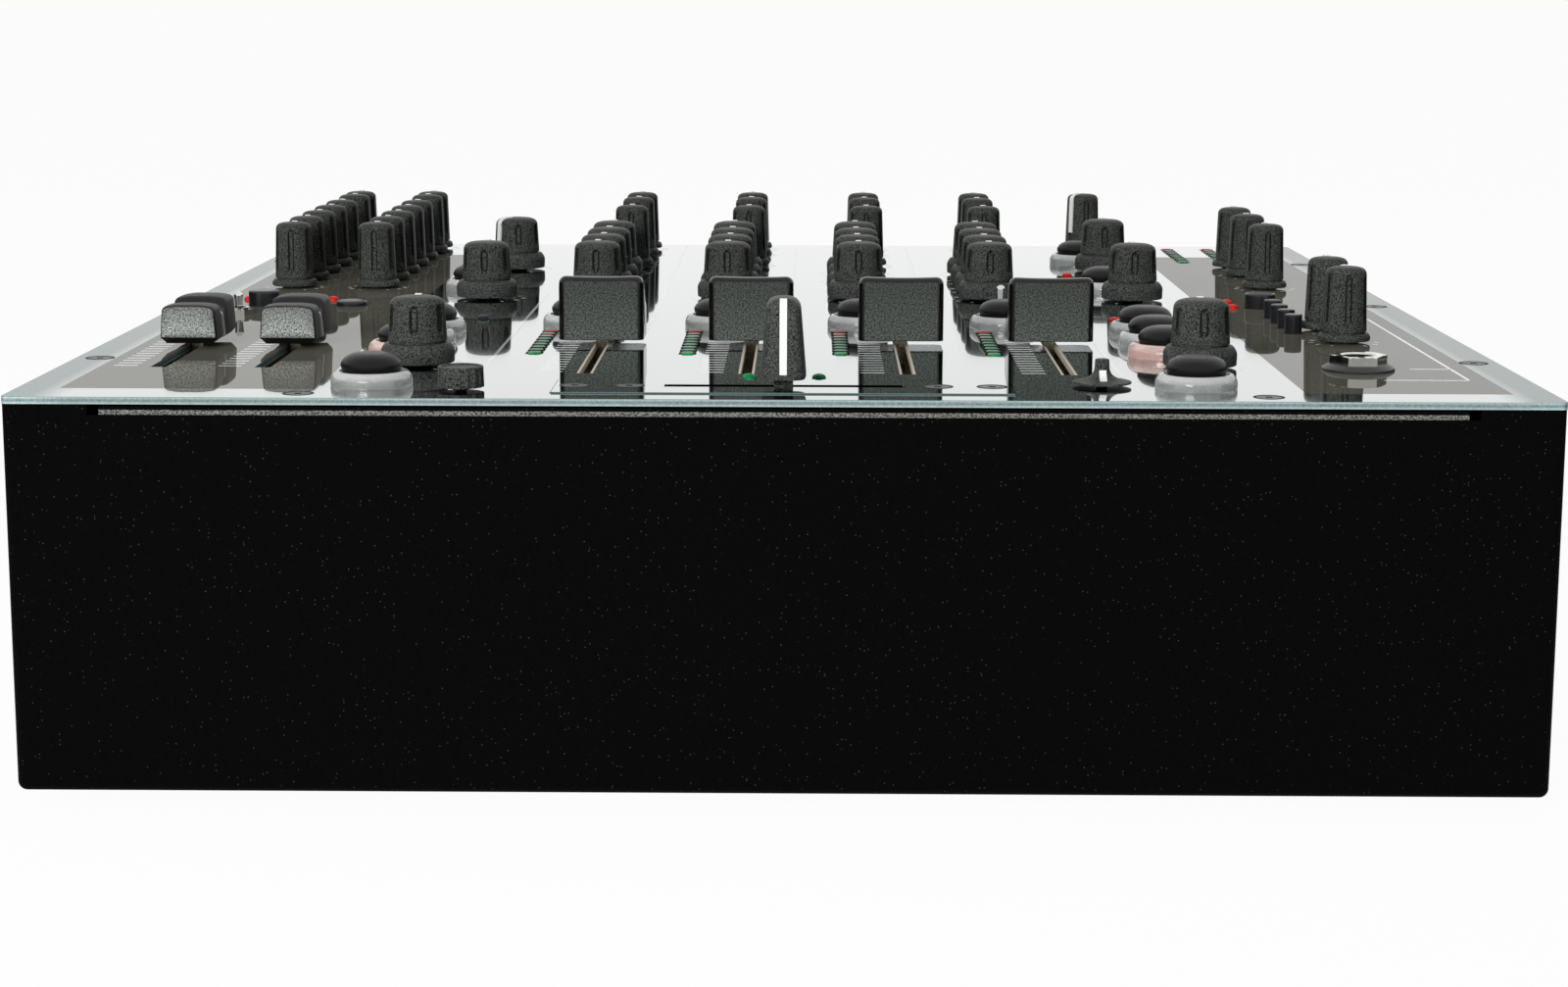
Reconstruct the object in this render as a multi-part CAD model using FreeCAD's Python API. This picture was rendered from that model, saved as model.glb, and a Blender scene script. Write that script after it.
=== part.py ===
"""Four-channel club mixer: a folded steel tray, a lacquered top panel full of
rotary controls, faders, lit push buttons and toggles, and a socket panel behind.

Millimetres, +X to the user's right, +Y away from the user, +Z up. The origin is the
centre of the footprint, sockets included, on the surface that the feet stand on.
"""
import FreeCAD, Part
import math
import os

# Overall size
WIDTH = 320.0
DEPTH = 358.0
BODY_HEIGHT = 83.4
FOOT_HEIGHT = 4.6
SOCKET_REACH = 9.0

# How far the layout spreads with the overall size
ACROSS = WIDTH / 320.0
ALONG = DEPTH / 358.0

# Sheet metal
PANEL = 1.5
WALL = 1.2
PANEL_CORNER = 1.5
TRAY_BEND = 2.0
SIDE_FLANGE = 9.0
FRONT_FLANGE = 11.0
REAR_LIP = 10.0
NOTCH_INSET = 19.0
NOTCH_WIDTH = 2.5
NOTCH_HEIGHT = 2.3
FLANGE_STEP = 0.4

# Clearances
RUN_GAP = 0.3
HOLE_GAP = 0.5
FIT_GAP = 0.05

# Boards
BOARD = 1.6
BOARD_DROP = 11.0
BOARD_MARGIN = 10.5
BOARD_FRONT = 8.0

# Rotary controls
SHAFT_R = 3.0
SHAFT_IN_CAP = 9.0
POT_SIDE = 10.0
POT_HEIGHT = 6.0
BUSH_WALL = 0.9
SHAFT_IN_POT = 2.0
CAP_LIFT = 0.6
TALL_HEIGHT = 17.4
WIDE_HEIGHT = 15.4
KNOB_SHOULDER = 1.5
SHOULDER_SHARE = 0.42
POINTER_WIDTH = 1.0
POINTER_DEPTH = 0.6
TALL_FLANGE_R = 6.3
TALL_FLANGE_HEIGHT = 2.2
TALL_BASE_R = 5.2
TALL_TOP_R = 4.7
WIDE_SKIRT_R = 8.2
WIDE_SKIRT_TOP_R = 7.7
WIDE_SKIRT_HEIGHT = 4.6
WIDE_BASE_R = 6.4
WIDE_TOP_R = 5.9
CURVE_KNOB_R = 4.9
CURVE_KNOB_HEIGHT = 5.0
SELECTOR_R = 6.3
SELECTOR_NECK_R = 1.5
SELECTOR_HEIGHT = 5.8
SELECTOR_WAIST = 2.34
SELECTOR_BEND = 1.2
SMALL_SHAFT_R = 1.2

# Faders
FADER_TRAVEL = 60.0
CROSS_TRAVEL = 45.0
SLOT_WIDTH = 3.5
TRACK_WIDTH = 11.0
TRACK_WALL = 1.0
CARRIAGE_LENGTH = 8.0
CARRIAGE_HEIGHT = 6.0
STEM_WIDTH = 2.5
STEM_LENGTH = 4.0
CAP_GAP = 1.2
CHANNEL_CAP = (19.8, 15.0, 15.0)
CHANNEL_SCOOP_R = 22.0
CHANNEL_FACE = 2.5
CHANNEL_LIP = 8.0
MIC_CAP = (13.2, 24.0, 9.6)
MIC_WAIST = 2.2
CROSS_CAP = (9.7, 14.0, 16.8)
CROSS_CAP_TOP = 7.0
CROSS_GAP = 2.0
CAP_EDGE = 1.0

# Push buttons
RING_R = 8.6
RING_HEIGHT = 3.3
DOME_R = 6.5
DOME_TOP = 7.1
PRESS = 1.2
PLUNGER_R = 2.0
SWITCH_SIDE = 6.0
SWITCH_HEIGHT = 3.2
ROUND_BUTTON_R = 4.0
ROUND_BUTTON_TOP = 4.0
SMALL_BUTTON_R = 2.1
SMALL_BUTTON_TOP = 4.7
BUTTON_SKIRT = 3.5
PLUNGER_SHARE = 0.6

# Toggle switches
TOGGLE_BUSH_R = 2.7
TOGGLE_BORE_R = 2.0
TOGGLE_BUSH_TOP = 1.8
TOGGLE_NUT = 7.0
TOGGLE_NUT_HEIGHT = 1.3
TOGGLE_BODY = 9.0
TOGGLE_BODY_HEIGHT = 5.0
LEVER_BALL_R = 1.7
LEVER_DROP = 1.5
LEVER_R = 0.7
LEVER_TIP_R = 1.15
LEVER_TOP = 5.8

# Lamps
METER_COUNT = 9
METER_PITCH = 5.2 * ALONG
METER_LAMP = (3.8, 4.2)
LAMP_PROUD = 0.2
LAMP_R = 1.5
LAMP_GAP = 0.1

# Headphone socket and its bore
JACK_R = 3.2
JACK_COLLAR_R = 8.0
JACK_COLLAR_HEIGHT = 1.4
JACK_NUT = 11.0
JACK_NUT_HEIGHT = 2.0
JACK_BODY = 14.0
JACK_FLOOR = 1.0

# Screws and feet
SCREW_R = 1.45
SCREW_HEAD_R = 2.7
SCREW_HEAD = 1.3
SCREW_LENGTH = 7.0
FOOT_R = 10.0
FOOT_TOP_R = 9.0
FOOT_INSET = 34.0

# Crossfader plate
PLATE_LENGTH = 96.0
PLATE_WIDTH = 21.0
PLATE_PROUD = 0.3
PLATE_DEPTH = 18.5 * ALONG
PLATE_SCREWS = (CROSS_TRAVEL / 2 + 9.9, PLATE_LENGTH / 2 - 4.2)

# Layout on the panel: x from the middle, depth from the front edge
CHANNELS = 4
CHANNEL_X = -51.8 * ACROSS
CHANNEL_PITCH = 35.1 * ACROSS
EQ_DEPTH = 195.0 * ALONG
EQ_PITCH = 22.5 * ALONG
INPUT_DX = 3.7 * ACROSS
INPUT_DEPTHS = (287.0 * ALONG, 321.0 * ALONG, 342.0 * ALONG)
FADER_DX = 8.4 * ACROSS
FADER_SLOT_DEPTH = 42.5 * ALONG
FADER_REST = 54.5
CUE_DEPTH = 128.0 * ALONG
TOGGLE_DX = 2.0 * ACROSS
TOGGLE_DEPTH = 176.0 * ALONG
METER_DX = -5.8 * ACROSS
METER_DEPTH = 75.0 * ALONG
MIC_X = (-138.0 * ACROSS, -115.0 * ACROSS)
MIC_DEPTH = 220.0 * ALONG
MIC_PITCH = 21.0 * ALONG
MIC_REAR_DEPTHS = (328.8 * ALONG, 342.0 * ALONG)
MIC_SLOT_DEPTH = 50.0 * ALONG
MIC_REST = 41.5
MIC_BUTTON_DEPTH = 174.0 * ALONG
MIC_TOGGLE = (-140.6 * ACROSS, 153.0 * ALONG)
FILTER_BUTTON_X = 86.7 * ACROSS
FILTER_KNOB_DX = 5.2 * ACROSS
FILTER_KNOB_DEPTHS = (54.0 * ALONG, 193.5 * ALONG, 275.0 * ALONG)
FILTER_ON_DEPTH = 19.5 * ALONG
FILTER_MODE_DEPTH = 73.0 * ALONG
FILTER_MODE_PITCH = 21.5 * ALONG
FILTER_REAR_DEPTH = 215.0 * ALONG
FILTER_LAST_DEPTH = 297.0 * ALONG
CURVE_X = 67.2 * ACROSS
CURVE_DEPTH = 13.5 * ALONG
SELECTOR_DEPTH = 23.0 * ALONG
MASTER_X = 132.2 * ACROSS
MASTER_DEPTHS = (101.0 * ALONG, 125.5 * ALONG, 225.0 * ALONG, 260.0 * ALONG, 286.5 * ALONG)
MASTER_BUTTON = (123.6 * ACROSS, 176.0 * ALONG)
SMALL_BUTTON_X = 123.2 * ACROSS
SMALL_BUTTON_DEPTH = 119.5 * ALONG
SMALL_BUTTON_PITCH = 11.0 * ALONG
SMALL_BUTTONS = 4
MASTER_METER_X = (119.5 * ACROSS, 132.0 * ACROSS)
MASTER_METER_DEPTH = 304.0 * ALONG
JACK_PLACE = (126.4 * ACROSS, 51.0 * ALONG)
SINGLE_LAMPS = [
    (x * ACROSS, depth * ALONG)
    for x, depth in ((-144.3, 187.0), (-122.0, 187.0), (82.4, 144.0), (80.0, 258.0), (116.4, 175.0),
                     (116.4, 187.0), (-7.5, 33.0), (7.5, 33.0), (-77.0, 144.0))
]
SIDE_SCREW_INSET = 5.5
SIDE_SCREW_DEPTHS = (63.0 * ALONG, 180.0 * ALONG, 297.0 * ALONG)
END_SCREW_X = 100.0 * ACROSS
END_SCREW_INSET = 6.6

# Rear sockets: x from the middle, height above the tray floor
PHONO_COLUMNS = 8
PHONO_X = -142.0 * ACROSS
PHONO_PITCH = 18.0 * ACROSS
PHONO_ROWS = (20.0, 42.0)
PHONO_R = 4.2
PHONO_PIN_R = 1.6
PHONO_BLOCK_DEPTH = 10.2
LINE_JACKS = ((20.0 * ACROSS, 54.0), (52.0 * ACROSS, 54.0))
LINE_NUT_R = 5.6
LINE_NUT_REACH = 3.0
LINE_BODY = 12.0
LINE_BODY_DEPTH = 18.0
XLR_PLACES = ((20.0 * ACROSS, 24.0), (52.0 * ACROSS, 24.0), (84.0 * ACROSS, 24.0))
XLR_FACE = (26.0, 31.0)
XLR_FACE_THICK = 1.6
XLR_SHELL_R = 10.4
XLR_RECESS_R = 8.6
XLR_RECESS_DEPTH = 15.0
XLR_SHELL_DEPTH = 18.0
XLR_PIN_R = 1.2
XLR_PIN_CIRCLE = 4.4
XLR_PIN_LENGTH = 9.4
INLET_PLACE = (124.0 * ACROSS, 22.0)
INLET_FACE = (31.0, 24.0)
INLET_RECESS = (24.0, 16.5)
INLET_RECESS_DEPTH = 14.0
INLET_WALL = 1.5
INLET_PIN = (2.0, 5.0, 9.0)
INLET_PIN_PLACES = ((-7.0, -1.5), (0.0, 2.5), (7.0, -1.5))
SWITCH_PLACE = (124.0 * ACROSS, 52.0)
SWITCH_FACE = (15.0, 21.0)
SWITCH_OPENING = (11.4, 17.4)
SWITCH_DEPTH = 16.0
ROCKER_DEPTH = 5.0
ROCKER_PROUD = 3.0
ROCKER_END_GAP = 0.9

# Power supply
TOROID_R = 40.0
TOROID_HOLE_R = 11.0
TOROID_HEIGHT = 30.0
TOROID_PLACE = (85.0 * ACROSS, 240.0 * ALONG)
TOROID_PLATE_R = 22.0
TOROID_PLATE = 1.5
TOROID_BOLT_R = 3.0
SUPPLY_BOARD = (90.0, 70.0)
SUPPLY_PLACE = (-20.0 * ACROSS, 270.0 * ALONG)
SUPPLY_POST_R = 3.0
SUPPLY_POST_HEIGHT = 8.0
SUPPLY_POST_INSET = 5.0

# Derived levels
FRONT = -(DEPTH + SOCKET_REACH) / 2
BACK = FRONT + DEPTH
TOP = FOOT_HEIGHT + BODY_HEIGHT
UNDER = TOP - PANEL
BOARD_TOP = UNDER - BOARD_DROP
FLOOR = FOOT_HEIGHT + WALL
POT_TOP = BOARD_TOP + POT_HEIGHT
PIVOT_Z = TOP - LEVER_DROP


def at(depth):
    """Y of a place so far behind the panel's front edge."""
    return FRONT + depth


def vec(x, y, z):
    return FreeCAD.Vector(x, y, z)


def box(x0, x1, y0, y1, z0, z1):
    return Part.makeBox(x1 - x0, y1 - y0, z1 - z0, vec(x0, y0, z0))


def block(x, y, width, length, z0, z1):
    """An upright block centred on x, y."""
    return box(x - width / 2, x + width / 2, y - length / 2, y + length / 2, z0, z1)


def rod(x, y, z0, z1, radius):
    return Part.makeCylinder(radius, z1 - z0, vec(x, y, z0))


def rear_rod(x, z, y0, y1, radius):
    """A round bar along Y."""
    return Part.makeCylinder(radius, y1 - y0, vec(x, y0, z), vec(0, 1, 0))


def rear_block(x, z, width, height, y0, y1):
    """A block centred on x, z that runs along Y."""
    return box(x - width / 2, x + width / 2, y0, y1, z - height / 2, z + height / 2)


def cone(x, y, z0, z1, r0, r1):
    return Part.makeCone(r0, r1, z1 - z0, vec(x, y, z0))


def hexagon(x, y, z0, z1, across_flats):
    """A hexagonal bar, its flats facing front and back."""
    radius = across_flats / math.sqrt(3)
    angles = [math.radians(60 * k) for k in range(7)]
    ring = [vec(x + radius * math.cos(a), y + radius * math.sin(a), z0) for a in angles]
    return Part.Face(Part.makePolygon(ring)).extrude(vec(0, 0, z1 - z0))


def turned(x, y, outline, shoulder=0.0):
    """Turn an outline of (radius, z) points about the upright axis at x, y. The last
    point but one can be rounded by a shoulder of that radius."""
    points = [vec(x + r, y, z) for r, z in outline]
    edges = []
    if shoulder:
        before, corner, after = points[-3], points[-2], points[-1]
        start = corner + (before - corner).normalize() * shoulder
        end = corner + (after - corner).normalize() * shoulder
        middle = corner + ((start + end) * 0.5 - corner) * SHOULDER_SHARE
        edges = [Part.makeLine(a, b) for a, b in zip(points[:-3], points[1:-2])]
        edges += [Part.makeLine(before, start), Part.Arc(start, middle, end).toShape(),
                  Part.makeLine(end, after)]
    else:
        edges = [Part.makeLine(a, b) for a, b in zip(points[:-1], points[1:])]
    edges.append(Part.makeLine(points[-1], points[0]))
    face = Part.Face(Part.Wire(edges))
    return face.revolve(vec(x, y, 0), vec(0, 0, 1), 360)


def cut_all(solid, tools):
    return solid.cut(Part.makeCompound(tools))


def rounded(solid, radius, wanted):
    """Round the edges that the test wanted(edge) picks."""
    return solid.makeFillet(radius, [edge for edge in solid.Edges if wanted(edge)])


def is_upright(edge):
    box_of = edge.BoundBox
    return box_of.ZLength > 1e-6 and box_of.XLength < 1e-6 and box_of.YLength < 1e-6


def save(name, solids):
    """Write one named piece, or one group of like pieces."""
    shape = solids[0] if len(solids) == 1 else Part.makeCompound(solids)
    shape.exportStep("parts/" + name + ".step")


# Where the controls are: x and depth of each
channel_x = [CHANNEL_X + CHANNEL_PITCH * k for k in range(CHANNELS)]
filter_knob_x = (-FILTER_BUTTON_X + FILTER_KNOB_DX, FILTER_BUTTON_X + FILTER_KNOB_DX)
eq_bands = ("low", "low_mid", "high_mid", "high")
eq_knobs = {
    f"eq_{band}_knob_{k + 1}": (x, EQ_DEPTH + EQ_PITCH * row)
    for k, x in enumerate(channel_x)
    for row, band in enumerate(eq_bands)
}
filter_names = ("frequency", "resonance", "depth")
filter_knobs = {
    f"filter_{k + 1}_{name}_knob": (x, depth)
    for k, x in enumerate(filter_knob_x)
    for name, depth in zip(filter_names, FILTER_KNOB_DEPTHS)
}
master_names = ("headphone_level_knob", "headphone_mix_knob", "booth_level_knob")
master_knobs = {name: (MASTER_X, depth) for name, depth in zip(master_names, MASTER_DEPTHS)}
mic_depths = [MIC_DEPTH + MIC_PITCH * k for k in range(5)] + list(MIC_REAR_DEPTHS)
level_places = [(x, depth) for x in MIC_X for depth in mic_depths]
level_places += [(x + INPUT_DX, depth) for x in channel_x for depth in INPUT_DEPTHS]
level_places += [(MASTER_X, depth) for depth in MASTER_DEPTHS[len(master_names):]]
level_places += [(filter_knob_x[1], INPUT_DEPTHS[-1])]
wide_knobs = {**eq_knobs, **filter_knobs}
curve_place = (-CURVE_X, CURVE_DEPTH)
selector_place = (CURVE_X, SELECTOR_DEPTH)
shaft_places = list(wide_knobs.values()) + list(master_knobs.values()) + level_places
small_shaft_places = [curve_place, selector_place]
channel_faders = {
    f"channel_fader_{k + 1}": (x + FADER_DX, FADER_SLOT_DEPTH) for k, x in enumerate(channel_x)
}
mic_faders = {f"mic_fader_{k + 1}": (x, MIC_SLOT_DEPTH) for k, x in enumerate(MIC_X)}
mode_depths = [FILTER_MODE_DEPTH + FILTER_MODE_PITCH * k for k in range(3)]
filter_depths = [FILTER_ON_DEPTH] + mode_depths + [FILTER_REAR_DEPTH]
more_depths = filter_depths + [FILTER_LAST_DEPTH]
lit_buttons = {
    "cue_buttons": [(x, CUE_DEPTH) for x in channel_x],
    "filter_1_buttons": [(-FILTER_BUTTON_X, depth) for depth in filter_depths],
    "filter_2_buttons": [(FILTER_BUTTON_X, depth) for depth in more_depths],
}
lit_places = [place for places in lit_buttons.values() for place in places]
round_places = [(x, MIC_BUTTON_DEPTH) for x in MIC_X] + [MASTER_BUTTON]
small_places = [
    (SMALL_BUTTON_X, SMALL_BUTTON_DEPTH + SMALL_BUTTON_PITCH * k) for k in range(SMALL_BUTTONS)
]
channel_toggles = [(x + TOGGLE_DX, TOGGLE_DEPTH) for x in channel_x]
toggle_places = channel_toggles + [MIC_TOGGLE]
meter_places = [(x + METER_DX, METER_DEPTH) for x in channel_x]
meter_places += [(x, MASTER_METER_DEPTH) for x in MASTER_METER_X]
lamp_cells = [(x, depth + METER_PITCH * k) for x, depth in meter_places for k in range(METER_COUNT)]
side_screw_x = WIDTH / 2 - SIDE_SCREW_INSET
end_depths = (END_SCREW_INSET, DEPTH - END_SCREW_INSET)
panel_screws = [(side * side_screw_x, depth) for side in (-1, 1) for depth in SIDE_SCREW_DEPTHS]
panel_screws += [(side * END_SCREW_X, depth) for side in (-1, 1) for depth in end_depths]
plate_screws = [(side * x, PLATE_DEPTH) for side in (-1, 1) for x in PLATE_SCREWS]
phono_x = [PHONO_X + PHONO_PITCH * k for k in range(PHONO_COLUMNS)]
phono_places = [(x, FLOOR + height) for x in phono_x for height in PHONO_ROWS]
phono_block = (PHONO_PITCH, PHONO_ROWS[1] - PHONO_ROWS[0])
phono_middle = ((phono_x[0] + phono_x[-1]) / 2, FLOOR + (PHONO_ROWS[0] + PHONO_ROWS[1]) / 2)
jack_places = [(x, FLOOR + height) for x, height in LINE_JACKS]
xlr_places = [(x, FLOOR + height) for x, height in XLR_PLACES]
inlet_place = (INLET_PLACE[0], FLOOR + INLET_PLACE[1])
switch_place = (SWITCH_PLACE[0], FLOOR + SWITCH_PLACE[1])
inlet_body = (INLET_RECESS[0] + 2 * INLET_WALL, INLET_RECESS[1] + 2 * INLET_WALL)
switch_body = (SWITCH_OPENING[0] + 2 * INLET_WALL, SWITCH_OPENING[1] + 2 * INLET_WALL)


def fader_slot(x, depth, z0, z1, width, spare):
    """The room that a channel or mic fader's stem sweeps, with spare length at its ends."""
    half = STEM_LENGTH / 2 + spare
    return box(x - width / 2, x + width / 2, at(depth) - half, at(depth) + FADER_TRAVEL + half, z0, z1)


def cross_slot(z0, z1, width, spare):
    """The room that the crossfader's stem sweeps from side to side."""
    half = CROSS_TRAVEL / 2 + STEM_LENGTH / 2 + spare
    return box(-half, half, at(PLATE_DEPTH) - width / 2, at(PLATE_DEPTH) + width / 2, z0, z1)


def screw_hole(x, depth, top):
    """A countersunk hole through a sheet whose upper face is at top."""
    reach = SCREW_HEAD_R - SCREW_R
    head = cone(x, at(depth), top - SCREW_HEAD, top, SCREW_R + FIT_GAP, SCREW_R + reach + FIT_GAP)
    mouth = rod(x, at(depth), top, top + 1, SCREW_HEAD_R + FIT_GAP)
    return [head, mouth, rod(x, at(depth), top - SCREW_LENGTH - 1, top, SCREW_R + FIT_GAP)]


def screw(x, depth, top):
    head = cone(x, at(depth), top - SCREW_HEAD, top, SCREW_R, SCREW_HEAD_R)
    shank = rod(x, at(depth), top - SCREW_LENGTH, top - SCREW_HEAD, SCREW_R)
    slot = block(x, at(depth), SCREW_R, SCREW_R, top - SCREW_HEAD / 2, top + 1)
    return head.fuse(shank).cut(slot).removeSplitter()


def base_tray():
    """The folded tray: floor, front and sides, with flanges for the panel's screws."""
    body = box(-WIDTH / 2, WIDTH / 2, FRONT, BACK, FOOT_HEIGHT, UNDER)

    def is_bend(edge):
        place = edge.CenterOfMass
        low = abs(place.z - FOOT_HEIGHT) < 1e-6 and place.y < BACK - 1e-6
        return low or (is_upright(edge) and abs(place.y - FRONT) < 1e-6)

    body = rounded(body, TRAY_BEND, is_bend)
    inside = box(WALL - WIDTH / 2, WIDTH / 2 - WALL, FRONT + WALL, BACK + 1, FLOOR, UNDER - WALL)
    mouth = box(SIDE_FLANGE - WIDTH / 2, WIDTH / 2 - SIDE_FLANGE, at(FRONT_FLANGE), BACK + 1, FLOOR, TOP)
    notch_x = WIDTH / 2 - NOTCH_INSET
    notches = [
        block(side * notch_x, at(0), NOTCH_WIDTH, 2 * FRONT_FLANGE + 2, UNDER - NOTCH_HEIGHT, TOP)
        for side in (-1, 1)
    ]
    step = box(-notch_x, notch_x, FRONT - 1, at(FRONT_FLANGE) + 1, UNDER - FLANGE_STEP, TOP)
    holes = [rod(x, at(depth), FLOOR, TOP, SCREW_R + FIT_GAP) for x, depth in panel_screws]
    return cut_all(body.cut(inside).cut(mouth), notches + [step] + holes)


def feet():
    """Four rubber feet under the tray."""
    x = WIDTH / 2 - FOOT_INSET
    places = [(side * x, depth) for side in (-1, 1) for depth in (FOOT_INSET, DEPTH - FOOT_INSET)]
    return [cone(x, at(depth), 0, FOOT_HEIGHT, FOOT_TOP_R, FOOT_R) for x, depth in places]


def top_panel():
    """The control panel, with a hole or slot for everything that passes through it."""
    sheet = box(-WIDTH / 2, WIDTH / 2, FRONT, BACK, UNDER, TOP)
    sheet = rounded(sheet, PANEL_CORNER, is_upright)
    low = UNDER - 1
    high = TOP + 1
    cuts = [rod(x, at(depth), low, high, SHAFT_R + HOLE_GAP) for x, depth in shaft_places]
    cuts += [rod(x, at(depth), low, high, SMALL_SHAFT_R + HOLE_GAP) for x, depth in small_shaft_places]
    cuts += [rod(x, at(depth), low, high, PLUNGER_R + HOLE_GAP) for x, depth in lit_places]
    cuts += [rod(x, at(depth), low, high, ROUND_BUTTON_R + RUN_GAP) for x, depth in round_places]
    cuts += [rod(x, at(depth), low, high, SMALL_BUTTON_R + RUN_GAP) for x, depth in small_places]
    cuts += [rod(x, at(depth), low, high, TOGGLE_BUSH_R + FIT_GAP) for x, depth in toggle_places]
    faders = list(channel_faders.values()) + list(mic_faders.values())
    cuts += [fader_slot(x, depth, low, high, SLOT_WIDTH, HOLE_GAP) for x, depth in faders]
    lamp_width, lamp_length = METER_LAMP
    cuts += [
        block(x, at(depth), lamp_width + 2 * LAMP_GAP, lamp_length + 2 * LAMP_GAP, low, high)
        for x, depth in lamp_cells
    ]
    cuts += [rod(x, at(depth), low, high, LAMP_R + LAMP_GAP) for x, depth in SINGLE_LAMPS]
    cuts += [rod(JACK_PLACE[0], at(JACK_PLACE[1]), low, high, JACK_NUT / 2)]
    plate_room = (PLATE_LENGTH + 2 * RUN_GAP, PLATE_WIDTH + 2 * RUN_GAP)
    cuts += [block(0, at(PLATE_DEPTH), *plate_room, low, high)]
    for x, depth in panel_screws:
        cuts += screw_hole(x, depth, TOP)
    return cut_all(sheet, cuts)


def crossfader_plate():
    """The small removable plate that carries the crossfader."""
    top = TOP + PLATE_PROUD
    plate = block(0, at(PLATE_DEPTH), PLATE_LENGTH, PLATE_WIDTH, UNDER, top)
    cuts = [cross_slot(UNDER - 1, top + 1, SLOT_WIDTH, HOLE_GAP)]
    for x, depth in plate_screws:
        cuts += screw_hole(x, depth, top)
    return cut_all(plate, cuts)


def control_board():
    """The printed board that every control stands on."""
    half = WIDTH / 2 - BOARD_MARGIN
    board = box(-half, half, at(BOARD_FRONT), BACK - BOARD_MARGIN, BOARD_TOP - BOARD, BOARD_TOP)
    screws = plate_screws + panel_screws
    return cut_all(board, [rod(x, at(depth), FLOOR, TOP, SCREW_HEAD_R) for x, depth in screws])


def potentiometer(x, depth, shaft_r):
    """A rotary control's body and bush, bored for its shaft."""
    body = block(x, at(depth), POT_SIDE, POT_SIDE, BOARD_TOP, POT_TOP)
    bush = rod(x, at(depth), POT_TOP, UNDER, shaft_r + RUN_GAP + BUSH_WALL)
    bore = rod(x, at(depth), POT_TOP - SHAFT_IN_POT - RUN_GAP, TOP, shaft_r + RUN_GAP)
    return body.fuse(bush).cut(bore)


def shaft(x, depth, radius, length):
    return rod(x, at(depth), POT_TOP - SHAFT_IN_POT, TOP + CAP_LIFT + length, radius)


def pointer(x, depth, radius, height):
    """The white inlay over a knob's top, towards the back."""
    return box(x - POINTER_WIDTH / 2, x + POINTER_WIDTH / 2, at(depth), at(depth) + radius,
               TOP + height - POINTER_DEPTH, TOP + height)


def capped(x, depth, cap, top_r, height):
    """A knob cap with its inlay and shaft, as three pieces."""
    flat_r = top_r - KNOB_SHOULDER
    inlay = pointer(x, depth, flat_r, height)
    stem = shaft(x, depth, SHAFT_R, SHAFT_IN_CAP)
    bore = rod(x, at(depth), TOP, TOP + CAP_LIFT + SHAFT_IN_CAP + FIT_GAP, SHAFT_R + FIT_GAP)
    return [cap.cut(bore).cut(inlay), inlay, stem]


def tall_knob(x, depth):
    """The slim knob: a foot flange and a tapered cap."""
    foot = TOP + CAP_LIFT
    flange = foot + TALL_FLANGE_HEIGHT
    top = TOP + TALL_HEIGHT
    step = TALL_FLANGE_R - TALL_BASE_R
    outline = [(0, foot), (TALL_FLANGE_R, foot), (TALL_FLANGE_R, flange - step / 2),
               (TALL_BASE_R, flange + step / 2), (TALL_TOP_R, top), (0, top)]
    cap = turned(x, at(depth), outline, KNOB_SHOULDER)
    return capped(x, depth, cap, TALL_TOP_R, TALL_HEIGHT)


def wide_knob(x, depth):
    """The skirted knob of the equaliser and filters."""
    foot = TOP + CAP_LIFT
    skirt = foot + WIDE_SKIRT_HEIGHT
    top = TOP + WIDE_HEIGHT
    outline = [(0, foot), (WIDE_SKIRT_R, foot), (WIDE_SKIRT_TOP_R, skirt), (WIDE_BASE_R, skirt),
               (WIDE_TOP_R, top), (0, top)]
    cap = turned(x, at(depth), outline, KNOB_SHOULDER)
    return capped(x, depth, cap, WIDE_TOP_R, WIDE_HEIGHT)


def curve_knob():
    """The low knob that sets the crossfader's curve."""
    x, depth = curve_place
    foot = TOP + CAP_LIFT
    cap = rod(x, at(depth), foot, TOP + CURVE_KNOB_HEIGHT, CURVE_KNOB_R)
    length = CURVE_KNOB_HEIGHT / 2
    bore = rod(x, at(depth), TOP, foot + length + FIT_GAP, SMALL_SHAFT_R + FIT_GAP)
    return [cap.cut(bore), shaft(x, depth, SMALL_SHAFT_R, length)]


def selector_knob():
    """The flared selector: a bell whose neck is held between two fingers."""
    x, depth = selector_place
    y = at(depth)
    foot = TOP + CAP_LIFT
    top = TOP + SELECTOR_HEIGHT
    centre = vec(x, y, foot)
    rim = vec(x + SELECTOR_R, y, foot)
    lip = vec(x + SELECTOR_R, y, foot + CAP_LIFT)
    bend = vec(x + SELECTOR_NECK_R + SELECTOR_BEND, y, foot + 2 * CAP_LIFT)
    neck = vec(x + SELECTOR_NECK_R, y, foot + SELECTOR_WAIST + CAP_LIFT)
    tip = vec(x + SELECTOR_NECK_R, y, top)
    crown = vec(x, y, top)
    edges = [Part.makeLine(centre, rim), Part.makeLine(rim, lip), Part.Arc(lip, bend, neck).toShape()]
    edges += [Part.makeLine(neck, tip), Part.makeLine(tip, crown), Part.makeLine(crown, centre)]
    bell = Part.Face(Part.Wire(edges)).revolve(vec(x, y, 0), vec(0, 0, 1), 360)
    length = CAP_LIFT
    bore = rod(x, y, TOP, foot + length + FIT_GAP, SMALL_SHAFT_R + FIT_GAP)
    return [bell.cut(bore), shaft(x, depth, SMALL_SHAFT_R, length)]


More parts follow.
